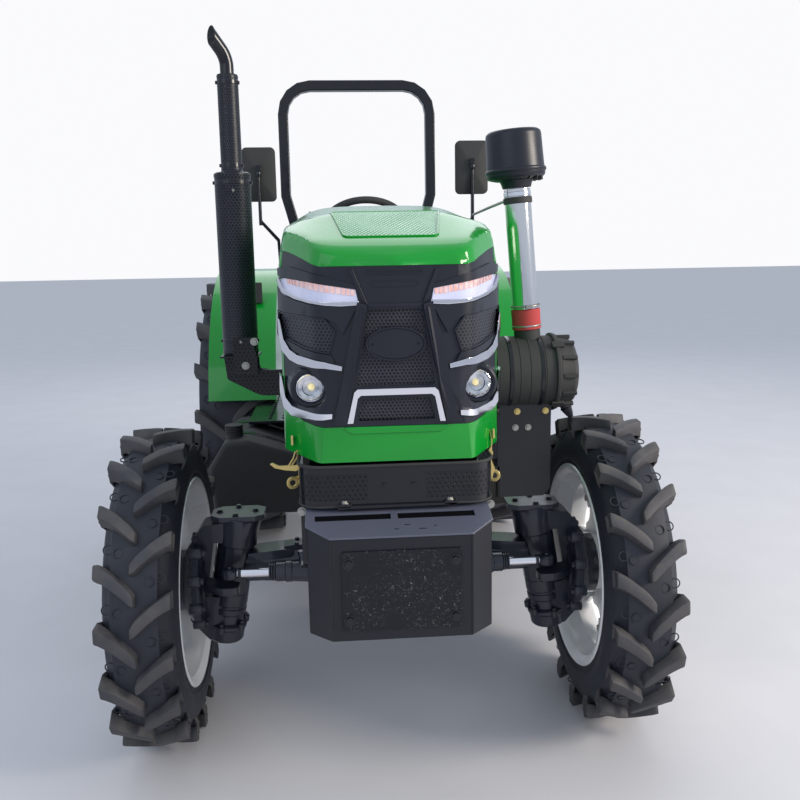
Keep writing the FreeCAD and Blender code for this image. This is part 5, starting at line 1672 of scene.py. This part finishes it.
    def cylinder(self) -> None:
        """Builds the steering cylinder with its ringed glands, and the bright rod with its eyes."""
        y, z = self.steer_y, self.steer_z
        body = Shape()
        half = [(0.0, 0.029), (0.3, 0.029), (0.302, 0.032), (0.32, 0.032), (0.322, 0.029), (0.35, 0.029)]
        for start in (0.352, 0.359, 0.366):
            half.extend([(start, 0.02), (start + 0.001, 0.025), (start + 0.005, 0.025),
                         (start + 0.006, 0.02)])
        half.append((0.373, 0.0136))
        profile = [(radius, -x) for x, radius in reversed(half)] + [(radius, x) for x, radius in half]
        body.turn(profile, (0, y, z), (1, 0, 0), 40)
        for side in (-1, 1):
            body.block((side * 0.128, y, z - 0.022), (side * 0.172, -0.06, z + 0.022))
            body.turn([(0.01, 0), (0.01, 0.03), (0.013, 0.031), (0.013, 0.044), (0, 0.044)],
                      (side * 0.27, y, z + 0.02), (0, 0, 1), 6)
        body.finish("steering_cylinder_body", "chassis", CASTING, ["steering_cylinder"], bevel=0.001,
                    sharp=35)
        eye = self.pin_x(z)
        rod = Shape().turn([(0, -eye), (0.013, -eye), (0.013, eye), (0, eye)], (0, y, z), (1, 0, 0), 32)
        rod.finish("steering_rod_bar", "steering_rod", CHROME, ["steering_rod"], sharp=40)
        ends = Shape()
        for side in (-1, 1):
            ends.turn([(0, -0.016), (0.018, -0.016), (0.024, -0.011), (0.026, 0.0), (0.024, 0.011),
                       (0.018, 0.016), (0, 0.016)], (side * eye, y, z), (0, 0, 1), 32)
            ends.turn([(0.0, -0.034), (0.017, -0.034), (0.018, -0.032), (0.018, -0.024), (0.0, -0.022)],
                      (side * eye, y, z), (side, 0, 0), 6)
            ends.turn([(0, 0.016), (0.009, 0.016), (0.009, 0.024), (0, 0.025)], (side * eye, y, z),
                      (0, 0, 1), 6)
        ends.finish("steering_rod_eyes", "steering_rod", CASTING, sharp=35)


# Sides, platform and driver's place


@dataclass
class Sides:
    """The fuel tank, the battery box, the platform with its steps, and the engine's plain fittings."""

    tank_front: float = 0.62
    tank_rear: float = WHEELBASE - 0.9

    def build(self) -> None:
        """Builds the tank and the boxes, and dresses the platform."""
        self.tank()
        box = Shape().block((0.25, self.tank_front + 0.02, 0.5), (0.61, self.tank_rear - 0.15, 0.77))
        for y in (self.tank_front + 0.09, self.tank_front + 0.19, self.tank_front + 0.29):
            box.block((0.604, y, 0.52), (0.614, y + 0.03, 0.75))
        for x in (0.3, 0.39, 0.48, 0.56):
            box.block((x, self.tank_front + 0.015, 0.53), (x + 0.02, self.tank_front + 0.025, 0.74))
        box.finish("battery_case", "chassis", PLASTIC, ["battery_box"], bevel=0.006, segments=3)
        outline = rounded_box((0.244, self.tank_front + 0.014), (0.616, self.tank_rear - 0.144), 0.02)
        lid = Shape().slab(outline, "plan", 0.77, 0.784)
        lid.finish("battery_lid", "chassis", PLASTIC, bevel=0.004, segments=3)
        dress_node("platform", GLOSS_BLACK, bevel=0.003)
        self.treads()
        self.engine()

    def tank(self) -> None:
        """Builds the moulded tank with its filler neck and its two straps."""
        front, rear = self.tank_front, self.tank_rear
        outline = rounded([(-0.25, 0.5), (-0.64, 0.5, 0.04), (-0.655, 0.69, 0.06), (-0.59, 0.796, 0.05),
                           (-0.5, 0.8, 0.06), (-0.25, 0.716)])
        tank = Shape().slab(outline, "front", front, rear)
        tank.finish("tank_body", "chassis", PLASTIC, ["fuel_tank"], bevel=0.022, segments=5, sharp=50)
        neck = [(0, -0.01), (0.034, -0.01), (0.034, 0.008)]
        for z in (0.01, 0.02, 0.03):
            neck.extend([(0.03, z), (0.036, z + 0.002), (0.036, z + 0.006), (0.03, z + 0.008)])
        neck.extend([(0.036, 0.041), (0.034, 0.045), (0, 0.046)])
        cap = Shape().turn(neck, (-0.56, 0.72, 0.8), (0, 0, 1), 40)
        cap.finish("tank_cap", "chassis", PLASTIC, sharp=25)
        ridge = Shape()
        for y in (front + 0.15, rear - 0.15):
            ridge.slab([(x * 1.003, z + (0.0025 if z > 0.6 else -0.0025)) for x, z in outline] +
                       [(x, z) for x, z in reversed(outline)], "front", y - 0.018, y + 0.018)
        ridge.finish("tank_straps", "chassis", GLOSS_BLACK)

    def treads(self) -> None:
        """Adds raised studs to the platform."""
        studs = Shape()
        for side in (-1, 1):
            for row in range(9):
                for column in range(4):
                    place = (side * (0.25 + column * 0.062), self.tank_front + 0.32 + row * 0.055,
                             FLOOR_Z + 0.002)
                    bmesh.ops.create_cone(studs.mesh, cap_ends=True, segments=8, radius1=0.012,
                                          radius2=0.009, depth=0.004, matrix=Matrix.Translation(place))
        studs.finish("platform_studs", "chassis", GLOSS_BLACK)

    def engine(self) -> None:
        """Dresses the engine and gearbox and adds the covers and pipes that show beside them."""
        dress_node("engine_block", CASTING, bevel=0.012, segments=3)
        dress_node("gearbox", CASTING, bevel=0.012, segments=3)
        dress_node("radiator", GLOSS_BLACK, bevel=0.004)
        dress_node("front_frame", CASTING, bevel=0.003)
        covers = Shape()
        for side in (-1, 1):
            for y in (0.0, 0.13, 0.26, 0.39):
                covers.block((side * 0.196, y, 1.11), (side * 0.222, y + 0.1, 1.19))
                covers.turn([(0.045, 0), (0.045, 0.01), (0.036, 0.018), (0, 0.018)],
                            (side * 0.198, y + 0.05, 0.93), (side, 0, 0), 24)
            covers.block((side * 0.19, -0.1, 0.84), (side * 0.206, 0.56, 0.87))
        covers.turn([(0.06, 0), (0.06, 0.016), (0.046, 0.03), (0, 0.03)], (0.198, 0.48, 0.76), (1, 0, 0), 32)
        covers.turn([(0.048, 0), (0.05, 0.004), (0.05, 0.11), (0.044, 0.118), (0, 0.118)], (-0.2, 0.3, 0.7),
                    (-0.35, 0, -1), 32)
        covers.finish("engine_covers", "chassis", CASTING, bevel=0.004)
        lines = Shape()
        lines.pipe([(0.206, 0.04, 1.2), (0.25, 0.1, 1.15), (0.246, 0.3, 0.96), (0.214, 0.44, 0.88)],
                   0.009, 10)
        lines.pipe([(-0.206, 0.04, 1.2), (-0.246, 0.14, 1.08), (-0.24, 0.3, 0.95), (-0.21, 0.52, 0.8)],
                   0.009, 10)
        lines.pipe([(-0.208, 0.42, 1.08), (-0.33, 0.33, 1.08), (-0.42, 0.19, 1.12), (-0.44, 0.15, 1.18)],
                   0.024, 16)
        lines.pipe([(0.208, 0.42, 1.18), (0.3, 0.26, 1.16), (0.33, 0.06, 1.14), (0.336, 0.0, 1.126)],
                   0.032, 16)
        lines.finish("engine_pipes", "chassis", PLASTIC)


@dataclass
class Console:
    """The dashboard with its dials, the steering wheel, the levers and the pedals."""

    hub: Point3 = (0.0, 1.29, 1.612)
    tilt: float = 40.0

    def build(self) -> None:
        """Dresses the cowl and adds what the driver handles."""
        dress_node("console", PLASTIC, bevel=0.01, segments=4, sharp=24)
        dress_node("steering_column", GLOSS_BLACK, bevel=0.003)
        self.wheel()
        self.panel()
        self.levers()

    def axis(self) -> Vector:
        """Returns the steering wheel's axis."""
        return Vector((0, math.sin(math.radians(self.tilt)), math.cos(math.radians(self.tilt))))

    def wheel(self) -> None:
        """Builds the steering wheel with its grip ripples, spokes and cap."""
        rim = Shape().turn([(0.188 + 0.0155 * math.cos(angle), 0.0155 * math.sin(angle))
                            for angle in turns(16)], self.hub, self.axis(), 96, closed=True)
        rim.finish("steering_wheel_rim", "steering_wheel", PLASTIC, ["steering_wheel"])
        spokes = Shape()
        for turn in (90, 210, 330):
            spoke = Shape().slab(rounded([(0.02, -0.015), (0.06, -0.011), (0.18, -0.014), (0.18, 0.014),
                                          (0.06, 0.011), (0.02, 0.015)]), "plan", -0.008, 0.0)
            spokes.absorb(
                spoke.spun(math.radians(turn), "Z").spun(-math.radians(self.tilt), "X").shifted(self.hub))
        spokes.finish("steering_wheel_spokes", "steering_wheel", PLASTIC, bevel=0.002)
        boss = Shape().turn([(0, -0.022), (0.034, -0.022), (0.036, -0.01), (0.046, 0.002), (0.046, 0.008),
                             (0.038, 0.016), (0.02, 0.02), (0, 0.021)], self.hub, self.axis(), 40)
        boss.finish("steering_wheel_boss", "steering_wheel", PLASTIC, sharp=40)

    def panel(self) -> None:
        """Adds the sloping instrument panel with blank dials and four small switches."""
        slope = Vector((0, 0.15, -0.09)).normalized()
        up = Vector((1, 0, 0)).cross(slope)
        centre = Vector((0, 0.985, 1.646))

        def on_panel(u: float, v: float) -> Vector:
            """Returns the place at (u, v) on the panel."""
            return centre + Vector((u, 0, 0)) + slope * v

        dials = Shape()
        faces = Shape()
        for u, radius in ((-0.1, 0.034), (0.0, 0.048), (0.1, 0.034)):
            dials.turn([(radius, -0.004), (radius + 0.006, 0.004), (radius + 0.003, 0.007), (radius, 0.005),
                        (radius - 0.002, -0.002)], on_panel(u, 0.0), up, 40)
            faces.turn([(0, 0.0015), (radius, 0.0015), (radius, -0.004)], on_panel(u, 0.0), up, 40)
        for u in (-0.18, -0.15, 0.15, 0.18):
            dials.turn([(0.01, -0.004), (0.01, 0.006), (0.007, 0.01), (0, 0.01)], on_panel(u, 0.03), up, 16)
        dials.finish("dial_rims", "chassis", GLOSS_BLACK)
        faces.finish("dial_faces", "chassis", MIRROR)

    def levers(self) -> None:
        """Dresses the levers and pedals, and adds gaiters and pedal pads."""
        dress_node("controls", GLOSS_BLACK, bevel=0.002)
        soft = Shape()
        for x, y in ((-0.205, WHEELBASE - 0.49), (-0.232, WHEELBASE - 0.43), (0.205, WHEELBASE - 0.55)):
            profile = [(0.034, 0.0)]
            for k in range(4):
                profile.extend([(0.03 - 0.005 * k, 0.006 + 0.012 * k),
                                (0.032 - 0.005 * k, 0.012 + 0.012 * k)])
            profile.extend([(0.009, 0.056), (0.008, 0.056)])
            soft.turn(profile, (x, y, FLOOR_Z + 0.001), (math.copysign(0.06, x), -0.12, 1), 20)
        soft.finish("lever_gaiters", "chassis", RUBBER)
        pads = Shape()
        for x in (-0.205, 0.19, 0.232):
            for k in range(5):
                pads.block((x - 0.017, 1.079 + 0.0085 * k, 0.8815 + 0.0085 * k),
                           (x + 0.017, 1.083 + 0.0085 * k, 0.8865 + 0.0085 * k))
        pads.finish("pedal_pads", "chassis", RUBBER)


@dataclass
class Seat:
    """The seat: two sewn pads on a sprung base."""

    y: float = WHEELBASE - 0.33
    z: float = REAR_R + 0.4073
    room: float = 0.955

    def build(self) -> None:
        """Builds the pads, the base and its bellows."""
        y, z = self.y, self.z
        self.pad("seat_cushion", [(y - 0.19, z), (y - 0.21, z + 0.1), (y + 0.21, z + 0.109),
                                  (y + 0.28, z + 0.109), (y + 0.27, z)], 0.235, ["seat_pads"])
        foot = z + 0.1093
        self.pad("seat_back", [(y + 0.21, foot), (y + 0.26, foot + 0.36), (y + 0.322, foot + 0.36),
                               (y + 0.305, foot)], 0.23, [])
        dress_node("seat_base", GLOSS_BLACK, bevel=0.004)
        bellows = Shape()
        for k in range(5):
            low = REAR_R + 0.296 + 0.016 * k
            inset = 0.004 if k % 2 else 0.0
            bellows.block((-0.165 + inset, y - 0.004 + inset, low),
                          (0.165 - inset, y + 0.214 - inset, low + 0.013))
        bellows.finish("seat_bellows", "chassis", RUBBER, bevel=0.005)

    def pad(self, name: str, outline: Sequence[Point2], half: float, replaces: Sequence[str]) -> None:
        """Builds one pad, crowned between its corners, with sewn channels across it.

        Args:
            name: the pad's name.
            outline: its side view.
            half: half its width.
            replaces: the CAD nodes it stands for.
        """
        shape = Shape().slab(outline, "side", -half, half)
        bmesh.ops.recalc_face_normals(shape.mesh, faces=shape.mesh.faces)
        bmesh.ops.triangulate(shape.mesh, faces=[face for face in shape.mesh.faces if len(face.verts) > 4])
        centre = sum((vert.co for vert in shape.mesh.verts), Vector()) / len(shape.mesh.verts)
        shape.move(lambda co: centre + (co - centre) * self.room)
        piece = shape.finish(name, "chassis", VINYL, replaces, sharp=180)
        soften(piece)


def soften(piece: bpy.types.Object) -> None:
    """Blows a pad up as sewn cloth round foam, and leaves the result on its mesh.

    Args:
        piece: the pad, as a closed block.
    """
    bpy.context.view_layer.objects.active = piece
    remesh = piece.modifiers.new("remesh", "REMESH")
    remesh.mode = "VOXEL"
    remesh.voxel_size = 0.009
    bpy.ops.object.modifier_apply(modifier=remesh.name)
    rest = [vert.co.copy() for vert in piece.data.vertices]
    cloth = piece.modifiers.new("cloth", "CLOTH")
    cloth.settings.use_pressure = True
    cloth.settings.uniform_pressure_force = 4
    cloth.settings.effector_weights.gravity = 0
    for number in range(1, 21):
        bpy.context.scene.frame_set(number)
    bpy.ops.object.modifier_apply(modifier=cloth.name)
    bpy.context.scene.frame_set(1)
    low = Vector(min(co[axis] for co in rest) for axis in range(3))
    high = Vector(max(co[axis] for co in rest) for axis in range(3))
    swell, channel, seam, foot = 0.01, 0.006, 0.035, 0.02
    for vert, start in zip(piece.data.vertices, rest):
        way = vert.co - start
        if way.length > swell:
            way *= swell / way.length
        vert.co = start + way
        share = (start.x - (low.x + high.x) / 2) / ((high.x - low.x) / 2)
        for line in (-0.33, 0.0, 0.33):
            if start.z - low.z > foot:
                vert.co -= vert.normal * channel * math.exp(-((share - line) / seam) ** 2)
    piece.data.shade_smooth()
    finer = piece.modifiers.new("finer", "SUBSURF")
    finer.levels = finer.render_levels = 1


@dataclass
class Mirrors:
    """The mirrors on their bent bars, and the stay from the left one to the intake pipe."""

    def build(self) -> None:
        """Builds the shells, the glasses and the arms."""
        dress_node("mirror_arms", GLOSS_BLACK, bevel=0.003)
        shells = Shape()
        glass = Shape()
        for side, top in ((-1, 1.83), (1, 1.85)):
            x0, x1 = side * 0.44 - 0.068, side * 0.44 + 0.068
            outline = rounded_box((x0, top - 0.108), (x1, top + 0.108), 0.02)
            shell = Shape().slab(outline, "front", 0.995, 1.017)
            bmesh.ops.recalc_face_normals(shell.mesh, faces=shell.mesh.faces)
            front = min(shell.mesh.faces, key=lambda face: face.calc_center_median().y)
            bmesh.ops.inset_region(shell.mesh, faces=[front], thickness=0.006, depth=0.003)
            bmesh.ops.poke(shell.mesh, faces=[front], offset=0.014)
            shells.absorb(shell)
            inner = [(side * 0.44 + (x - side * 0.44) * 0.92, top + (z - top) * 0.94) for x, z in outline]
            glass.slab(inner, "front", 1.0165, 1.0175)
        shells.finish("mirror_shells", "chassis", PLASTIC, ["mirror_heads"], bevel=0.002, segments=3)
        glass.finish("mirror_glasses", "chassis", MIRROR)
        joints = Shape()
        for side, top in ((-1, 1.83), (1, 1.85)):
            joints.block((side * 0.44 - 0.01, 0.968, top + 0.01), (side * 0.44 + 0.01, 0.986, top + 0.034))
            joints.turn([(0, -0.012), (0.01, -0.009), (0.012, 0), (0.01, 0.009), (0, 0.012)],
                        (side * 0.44, 0.972, top), (0, 0, 1), 16)
            joints.pipe([(side * 0.44, 0.974, 1.625), (side * 0.44, 0.974, top)], 0.0065, 12)
        joints.finish("mirror_joints", "chassis", GLOSS_BLACK, bevel=0.001)
        stay = Shape().pipe([(0.44, 0.974, 1.655), (0.424, 0.5, 1.66), (0.424, 0.06, 1.668)], 0.005, 10)
        stay.block((0.4, 0.034, 1.655), (0.438, 0.064, 1.68))
        stay.finish("mirror_stay", "chassis", BOLT)


@dataclass
class Rear:
    """The rollbar, the fenders with their lamps, the axle and the linkage."""

    def build(self) -> None:
        """Dresses the rear pieces and adds lamps, bolts and hoses."""
        dress_node("rollbar", GLOSS_BLACK, bevel=0.006, segments=4)
        dress_node("fenders", GREEN, bevel=0.003, segments=3)
        dress_node("rear_axle", CASTING, bevel=0.01, segments=3)
        dress_node("lower_links", GLOSS_BLACK, bevel=0.004)
        dress_node("lift_arms", CASTING, bevel=0.004)
        dress_node("drawbar", CASTING, bevel=0.003)
        self.lamps()
        self.fittings()

    def lamps(self) -> None:
        """Adds the rear lamps on their stems and the small knobs ahead of the fenders."""
        shells, red, amber = Shape(), Shape(), Shape()
        top = REAR_R + 0.751
        for side in (-1, 1):
            x = side * 0.6
            shells.block((x - 0.07, WHEELBASE + 0.43, top - 0.11), (x + 0.07, WHEELBASE + 0.48, top - 0.02))
            red.block((x - 0.062, WHEELBASE + 0.48, top - 0.1), (x + 0.004, WHEELBASE + 0.49, top - 0.03))
            amber.block((x + 0.01, WHEELBASE + 0.48, top - 0.1), (x + 0.062, WHEELBASE + 0.49, top - 0.03))
            shells.block((x - 0.004, WHEELBASE + 0.38, top - 0.13),
                         (x + 0.004, WHEELBASE + 0.45, top - 0.06))
            shells.block((side * 0.5, WHEELBASE - 0.48, top - 0.16),
                         (side * 0.56, WHEELBASE - 0.44, top - 0.06))
        shells.finish("rear_lamp_shells", "chassis", PLASTIC, bevel=0.006, segments=3)
        red.finish("rear_lamp_red", "chassis", HOSE, bevel=0.002)
        amber.finish("rear_lamp_amber", "chassis", LED, bevel=0.002)

    def fittings(self) -> None:
        """Dresses the lift rods and adds the bolts, the shaft's guard, the output shaft and the hoses."""
        dress_node("lift_rods", BARE, bevel=0.002)
        bolts = Shape()
        for side in (-1, 1):
            bolts.bolts([(side * x, WHEELBASE + y, REAR_R + 0.163) for x in (0.225, 0.308)
                         for y in (0.002, 0.088)], (0, 0, 1), 0.022, 0.012)
            bolts.bolts(
                [(side * 0.4305, WHEELBASE + 0.115 * math.cos(angle), REAR_R + 0.115 * math.sin(angle))
                 for angle in turns(10)], (-side, 0, 0), 0.018, 0.012)
        bolts.bolts([(0.06 * math.cos(angle), WHEELBASE + 0.268, 0.56 + 0.06 * math.sin(angle))
                     for angle in turns(6, 0.5)], (0, 1, 0), 0.016, 0.012)
        bolts.finish("rear_bolts", "chassis", BOLT)
        guard = Shape().slab(rounded(
            [(WHEELBASE + 0.23, 0.65), (WHEELBASE + 0.35, 0.65, 0.02), (WHEELBASE + 0.35, 0.64, 0.005),
             (WHEELBASE + 0.23, 0.64)]), "side", -0.09, 0.09)
        for side in (-1, 1):
            guard.block((side * 0.084, WHEELBASE + 0.23, 0.56), (side * 0.09, WHEELBASE + 0.34, 0.645))
        guard.finish("shaft_guard", "chassis", GLOSS_BLACK, bevel=0.002)
        spline = Shape()
        for angle in turns(6):
            tooth = Shape().block((-0.004, 0.0, 0.014), (0.004, 0.06, 0.0185)).spun(angle, "Y")
            spline.absorb(tooth.shifted((0, WHEELBASE + 0.298, 0.56)))
        core = Shape().turn([(0, 0.0005), (0.015, 0.0005), (0.015, 0.08), (0, 0.08)],
                            (0, WHEELBASE + 0.28, 0.56), (0, 1, 0), 32)
        spline.absorb(core)
        spline.finish("output_shaft", "pto_shaft", BARE, ["pto_shaft"], bevel=0.0006, segments=1)
        hoses = Shape()
        for x in (-0.08, -0.04, 0.04, 0.08):
            hoses.pipe([(x, WHEELBASE + 0.18, REAR_R + 0.25), (x, WHEELBASE + 0.235, REAR_R + 0.262),
                        (x, WHEELBASE + 0.262, REAR_R + 0.235)], 0.01, 12)
            hoses.turn([(0.014, 0), (0.014, 0.028), (0.01, 0.032), (0, 0.032)],
                       (x, WHEELBASE + 0.255, REAR_R + 0.242), (0, 0.8, -0.5), 16)
        hoses.finish("remote_couplings", "chassis", PLASTIC)


# Wheels


@dataclass
class DriveWheel:
    """A lugged drive tyre on a welded disc rim, in metres; track_x and axle_y say where its middle is."""

    end: str
    radius: float
    width: float
    track_x: float
    axle_y: float
    lug_height: float
    lug_bar: float
    rim_r: float
    seat_r: float
    rim_width: float
    disc_x: float
    hub_r: float
    hub_near: float
    lugs: int = 18
    lobes: int = 8
    sweep: float = 0.8

    @property
    def half(self) -> float:
        """Returns half the tyre's width."""
        return self.width / 2

    def build(self) -> None:
        """Builds the carcass, the lugs, the rim and its bolts on both sides."""
        for side, name in ((1, "left"), (-1, "right")):
            pieces = [(self.carcass(), f"tyre_{name}_carcass", RUBBER, 0.0, [f"{self.end}_tyre_{name}"])]
            pieces.append((self.tread(), f"tyre_{name}_lugs", TREAD, 0.0, []))
            pieces.append((self.rim(), f"rim_{name}_welded", RIM, 0.002, [f"{self.end}_rim_{name}"]))
            pieces.append((self.bolts(), f"wheel_bolts_{name}", BOLT, 0.0, []))
            for shape, what, finish, bevel, nodes in pieces:
                shape.shifted((self.track_x, self.axle_y, self.radius))
                shape.move(lambda co: Vector((side * co.x, co.y, co.z)))
                shape.finish(f"{self.end}_{what}", f"{self.end}_wheel_{name}", finish, nodes, bevel,
                             sharp=38)

    def carcass_r(self, x: float) -> float:
        """Returns the tread's radius between the lugs at a distance from the tyre's middle."""
        return self.radius - self.lug_height - 0.016 * (abs(x) / self.half) ** 2

    def carcass(self) -> Shape:
        """Builds the tyre's body round the origin, with its wall lines and the marks between its lugs."""
        shape = Shape()
        bead, seat = self.rim_width / 2 - 0.014, self.seat_r + 0.0005
        tread = self.carcass_r(self.half) - 0.012
        wall = tread - seat
        flank = [(seat, bead - 0.01), (seat, bead), (seat + 0.014, bead + 0.012), (seat + 0.02, bead + 0.01),
                 (seat + wall * 0.22, self.half - 0.012), (seat + wall * 0.45, self.half - 0.003),
                 (seat + wall * 0.62, self.half - 0.003), (seat + wall * 0.82, self.half - 0.01),
                 (tread - 0.004, self.half - 0.019), (self.carcass_r(self.half) - 0.004, self.half - 0.034)]
        outer = flank + [(self.carcass_r(x * self.half), x * self.half) for x in (0.6, 0.4, 0.2)]
        shape.turn([(r, -x) for r, x in outer] + [(r, x) for r, x in reversed(outer)], (0, 0, 0), (1, 0, 0),
                   segments=120, closed=True)
        for side in (-1, 1):
            for radius, x in ((self.seat_r + 0.03, self.half - 0.013),
                              (self.seat_r + 0.04, self.half - 0.009)):
                shape.turn([(radius, 0), (radius + 0.0015, 0.003), (radius + 0.0035, 0.003),
                            (radius + 0.005, 0)], (side * x, 0, 0), (side, 0, 0), segments=72)
        marks = Shape()
        size = self.lug_bar / 0.04
        for side in (-1, 1):
            for place, back in ((0.4, 0.01), (0.68, -0.002)):
                x = place * self.half
                angle = self.lug_angle(side, self.slant(place) + math.pi * self.radius / self.lugs + back)
                out = Vector((0, math.sin(angle), math.cos(angle)))
                foot = Vector((side * x, 0, 0)) + out * (self.carcass_r(x) - 0.0012)
                marks.turn([(0.0112 * size, 0.0), (0.012 * size, 0.0028), (0.0138 * size, 0.0028),
                            (0.0146 * size, 0.0)], foot, out, segments=20)
        self.repeat(marks)
        return shape.absorb(marks)

    def repeat(self, pitch: Shape) -> None:
        """Repeats what stands on one pitch of the tread round the whole tyre."""
        bmesh.ops.spin(
            pitch.mesh, geom=everything(pitch.mesh), cent=(0, 0, 0), axis=(1, 0, 0), dvec=(0, 0, 0),
            steps=self.lugs - 1, use_duplicate=True, angle=2 * math.pi * (self.lugs - 1) / self.lugs)

    def slant(self, tread: float) -> float:
        """Returns how far a lug's middle line lies ahead, at a share of the half width."""
        return self.half * self.sweep * (0.5 - (1 - tread) ** 1.35)

    def lug_angle(self, side: int, ahead: float) -> float:
        """Returns the angle round the tyre of a place ahead of the lug's datum on one half of the tread."""
        return ahead / self.radius + (math.pi / self.lugs if side > 0 else 0.0)

    def tread(self) -> Shape:
        """Builds the lugs: bars that bend back to the shoulder and run on down the wall."""
        pitch = Shape()
        for side in (-1, 1):
            self.lug(pitch, side)
        self.repeat(pitch)
        return pitch

    def lug(self, pitch: Shape, side: int) -> None:
        """Adds one lug.

        Args:
            pitch: the shape that is repeated round the tyre.
            side: 1 or -1 for the half of the tread that it stands on.
        """
        lug = Shape()
        bmesh.ops.create_cube(lug.mesh, size=1)
        long_edges = [edge for edge in lug.mesh.edges if abs(edge.verts[0].co.x - edge.verts[1].co.x) > 0.5]
        bmesh.ops.subdivide_edges(lug.mesh, edges=long_edges, cuts=9, use_grid_fill=True)
        for vert in lug.mesh.verts:
            along, side_step, top = vert.co.x + 0.5, vert.co.y, vert.co.z > 0
            tread = min(along / 0.8, 1.0)
            fall = max(along - 0.8, 0.0) / 0.2
            x = -0.006 + tread * (self.half + 0.004)
            bar = self.lug_bar * (0.66 if along < 0.01 else 0.94 + 0.08 * tread)
            if not top:
                bar += self.lug_bar * 0.38
            radius = self.radius - 0.005 * tread ** 2 if top else self.carcass_r(x) - 0.01
            radius -= fall * self.lug_height * 1.5
            if fall:
                x -= (0.008 if top else 0.02) * fall
            angle = self.lug_angle(side, self.slant(tread) - fall * 0.006 + side_step * bar)
            vert.co = Vector((side * x, radius * math.sin(angle), radius * math.cos(angle)))
        bmesh.ops.recalc_face_normals(lug.mesh, faces=lug.mesh.faces)
        rims = [edge for edge in lug.mesh.edges if edge.calc_face_angle(0) > 0.6]
        bmesh.ops.bevel(lug.mesh, geom=rims, offset=0.004, segments=2, profile=0.5, affect="EDGES",
                        material=-1)
        pitch.absorb(lug)

    def rim(self) -> Shape:
        """Builds the barrel with its rolled flanges, the lobed disc, its lugs and the hub."""
        shape = Shape()
        seat, half = self.seat_r, self.rim_width / 2
        edge = [(seat, half - 0.024), (seat + 0.004, half - 0.014), (self.rim_r - 0.004, half - 0.013),
                (self.rim_r, half - 0.006), (self.rim_r - 0.004, half), (seat + 0.006, half - 0.003),
                (seat - 0.008, half - 0.016), (seat - 0.01, half - 0.04), (seat - 0.034, half - 0.07)]
        outer = [(seat - 0.026, half - 0.072), (seat, half - 0.045), *edge]
        shape.turn(outer + [(r, -x) for r, x in reversed(outer)], (0, 0, 0), (1, 0, 0), segments=96,
                   closed=True)
        disc_r = seat - 0.05
        lobes = []
        for lobe in turns(self.lobes):
            for turn, radius, corner in ((-0.21, disc_r, 0.02), (0.21, disc_r, 0.02),
                                         (math.pi / self.lobes, disc_r - 0.042, 0.05)):
                lobes.append((radius * math.sin(lobe + turn), radius * math.cos(lobe + turn), corner))
            foot = Shape().slab([(-0.036, disc_r - 0.036), (0.036, disc_r - 0.036), (0.034, seat - 0.03),
                                 (-0.034, seat - 0.03)], "side", self.disc_x - 0.02, self.disc_x - 0.006)
            shape.absorb(foot.spun(-lobe, "X"))
        shape.slab(rounded(lobes), "side", self.disc_x - 0.005, self.disc_x + 0.005)
        hub = self.hub_r
        near = self.hub_near - self.track_x
        shape.turn([(0, near), (hub - 0.004, near), (hub, near + 0.004), (hub, self.disc_x + 0.02),
                    (hub - 0.006, self.disc_x + 0.026), (hub * 0.66, self.disc_x + 0.028),
                    (hub * 0.6, self.disc_x + 0.056), (hub * 0.5, self.disc_x + 0.06),
                    (0, self.disc_x + 0.06)], (0, 0, 0), (1, 0, 0), segments=48)
        return shape

    def bolts(self) -> Shape:
        """Builds the bolts round the disc's edge and on the hub."""
        shape = Shape()
        for radius, count, x, way in ((self.seat_r - 0.066, self.lobes, self.disc_x + 0.005, 1),
                                      (self.seat_r - 0.066, self.lobes, self.disc_x - 0.02, -1),
                                      (self.hub_r * 0.82, 8, self.disc_x + 0.026, 1)):
            places = [(x, radius * math.sin(angle), radius * math.cos(angle)) for angle in turns(count)]
            shape.bolts(places, (way, 0, 0), 0.024, 0.013)
        return shape


@dataclass
class Tractor:
    """The whole machine, sub-assembly by sub-assembly."""

    def parts(self) -> list:
        """Returns the sub-assemblies in the order that they are built."""
        front = DriveWheel(end="front", radius=FRONT_R, width=0.208, track_x=TRACK_FRONT, axle_y=0.0,
                           lug_height=0.027, lug_bar=0.04, rim_r=0.328, seat_r=0.302, rim_width=0.195,
                           disc_x=0.03, hub_r=0.088, hub_near=0.6685)
        rear = DriveWheel(end="rear", radius=REAR_R, width=0.372, track_x=TRACK_REAR, axle_y=WHEELBASE,
                          lug_height=0.036, lug_bar=0.054, rim_r=0.38, seat_r=0.353, rim_width=0.33,
                          disc_x=-0.04, hub_r=0.105, hub_near=0.4725)
        return [Studio(), Hood(), Mask(), WeightBox(), Wrap(), Exhaust(), Intake(), FrontAxle(), Sides(),
                Console(), Seat(), Mirrors(), Rear(), front, rear]

    def build(self) -> None:
        """Builds every sub-assembly and logs each."""
        for part in self.parts():
            before = len(bpy.data.objects)
            part.build()
            LOG.info("%s: %d pieces", type(part).__name__, len(bpy.data.objects) - before)


def main() -> None:
    """Builds the tractor."""
    logging.basicConfig(level=logging.INFO, format="%(message)s")
    Tractor().build()


if __name__ == "__main__":
    main()
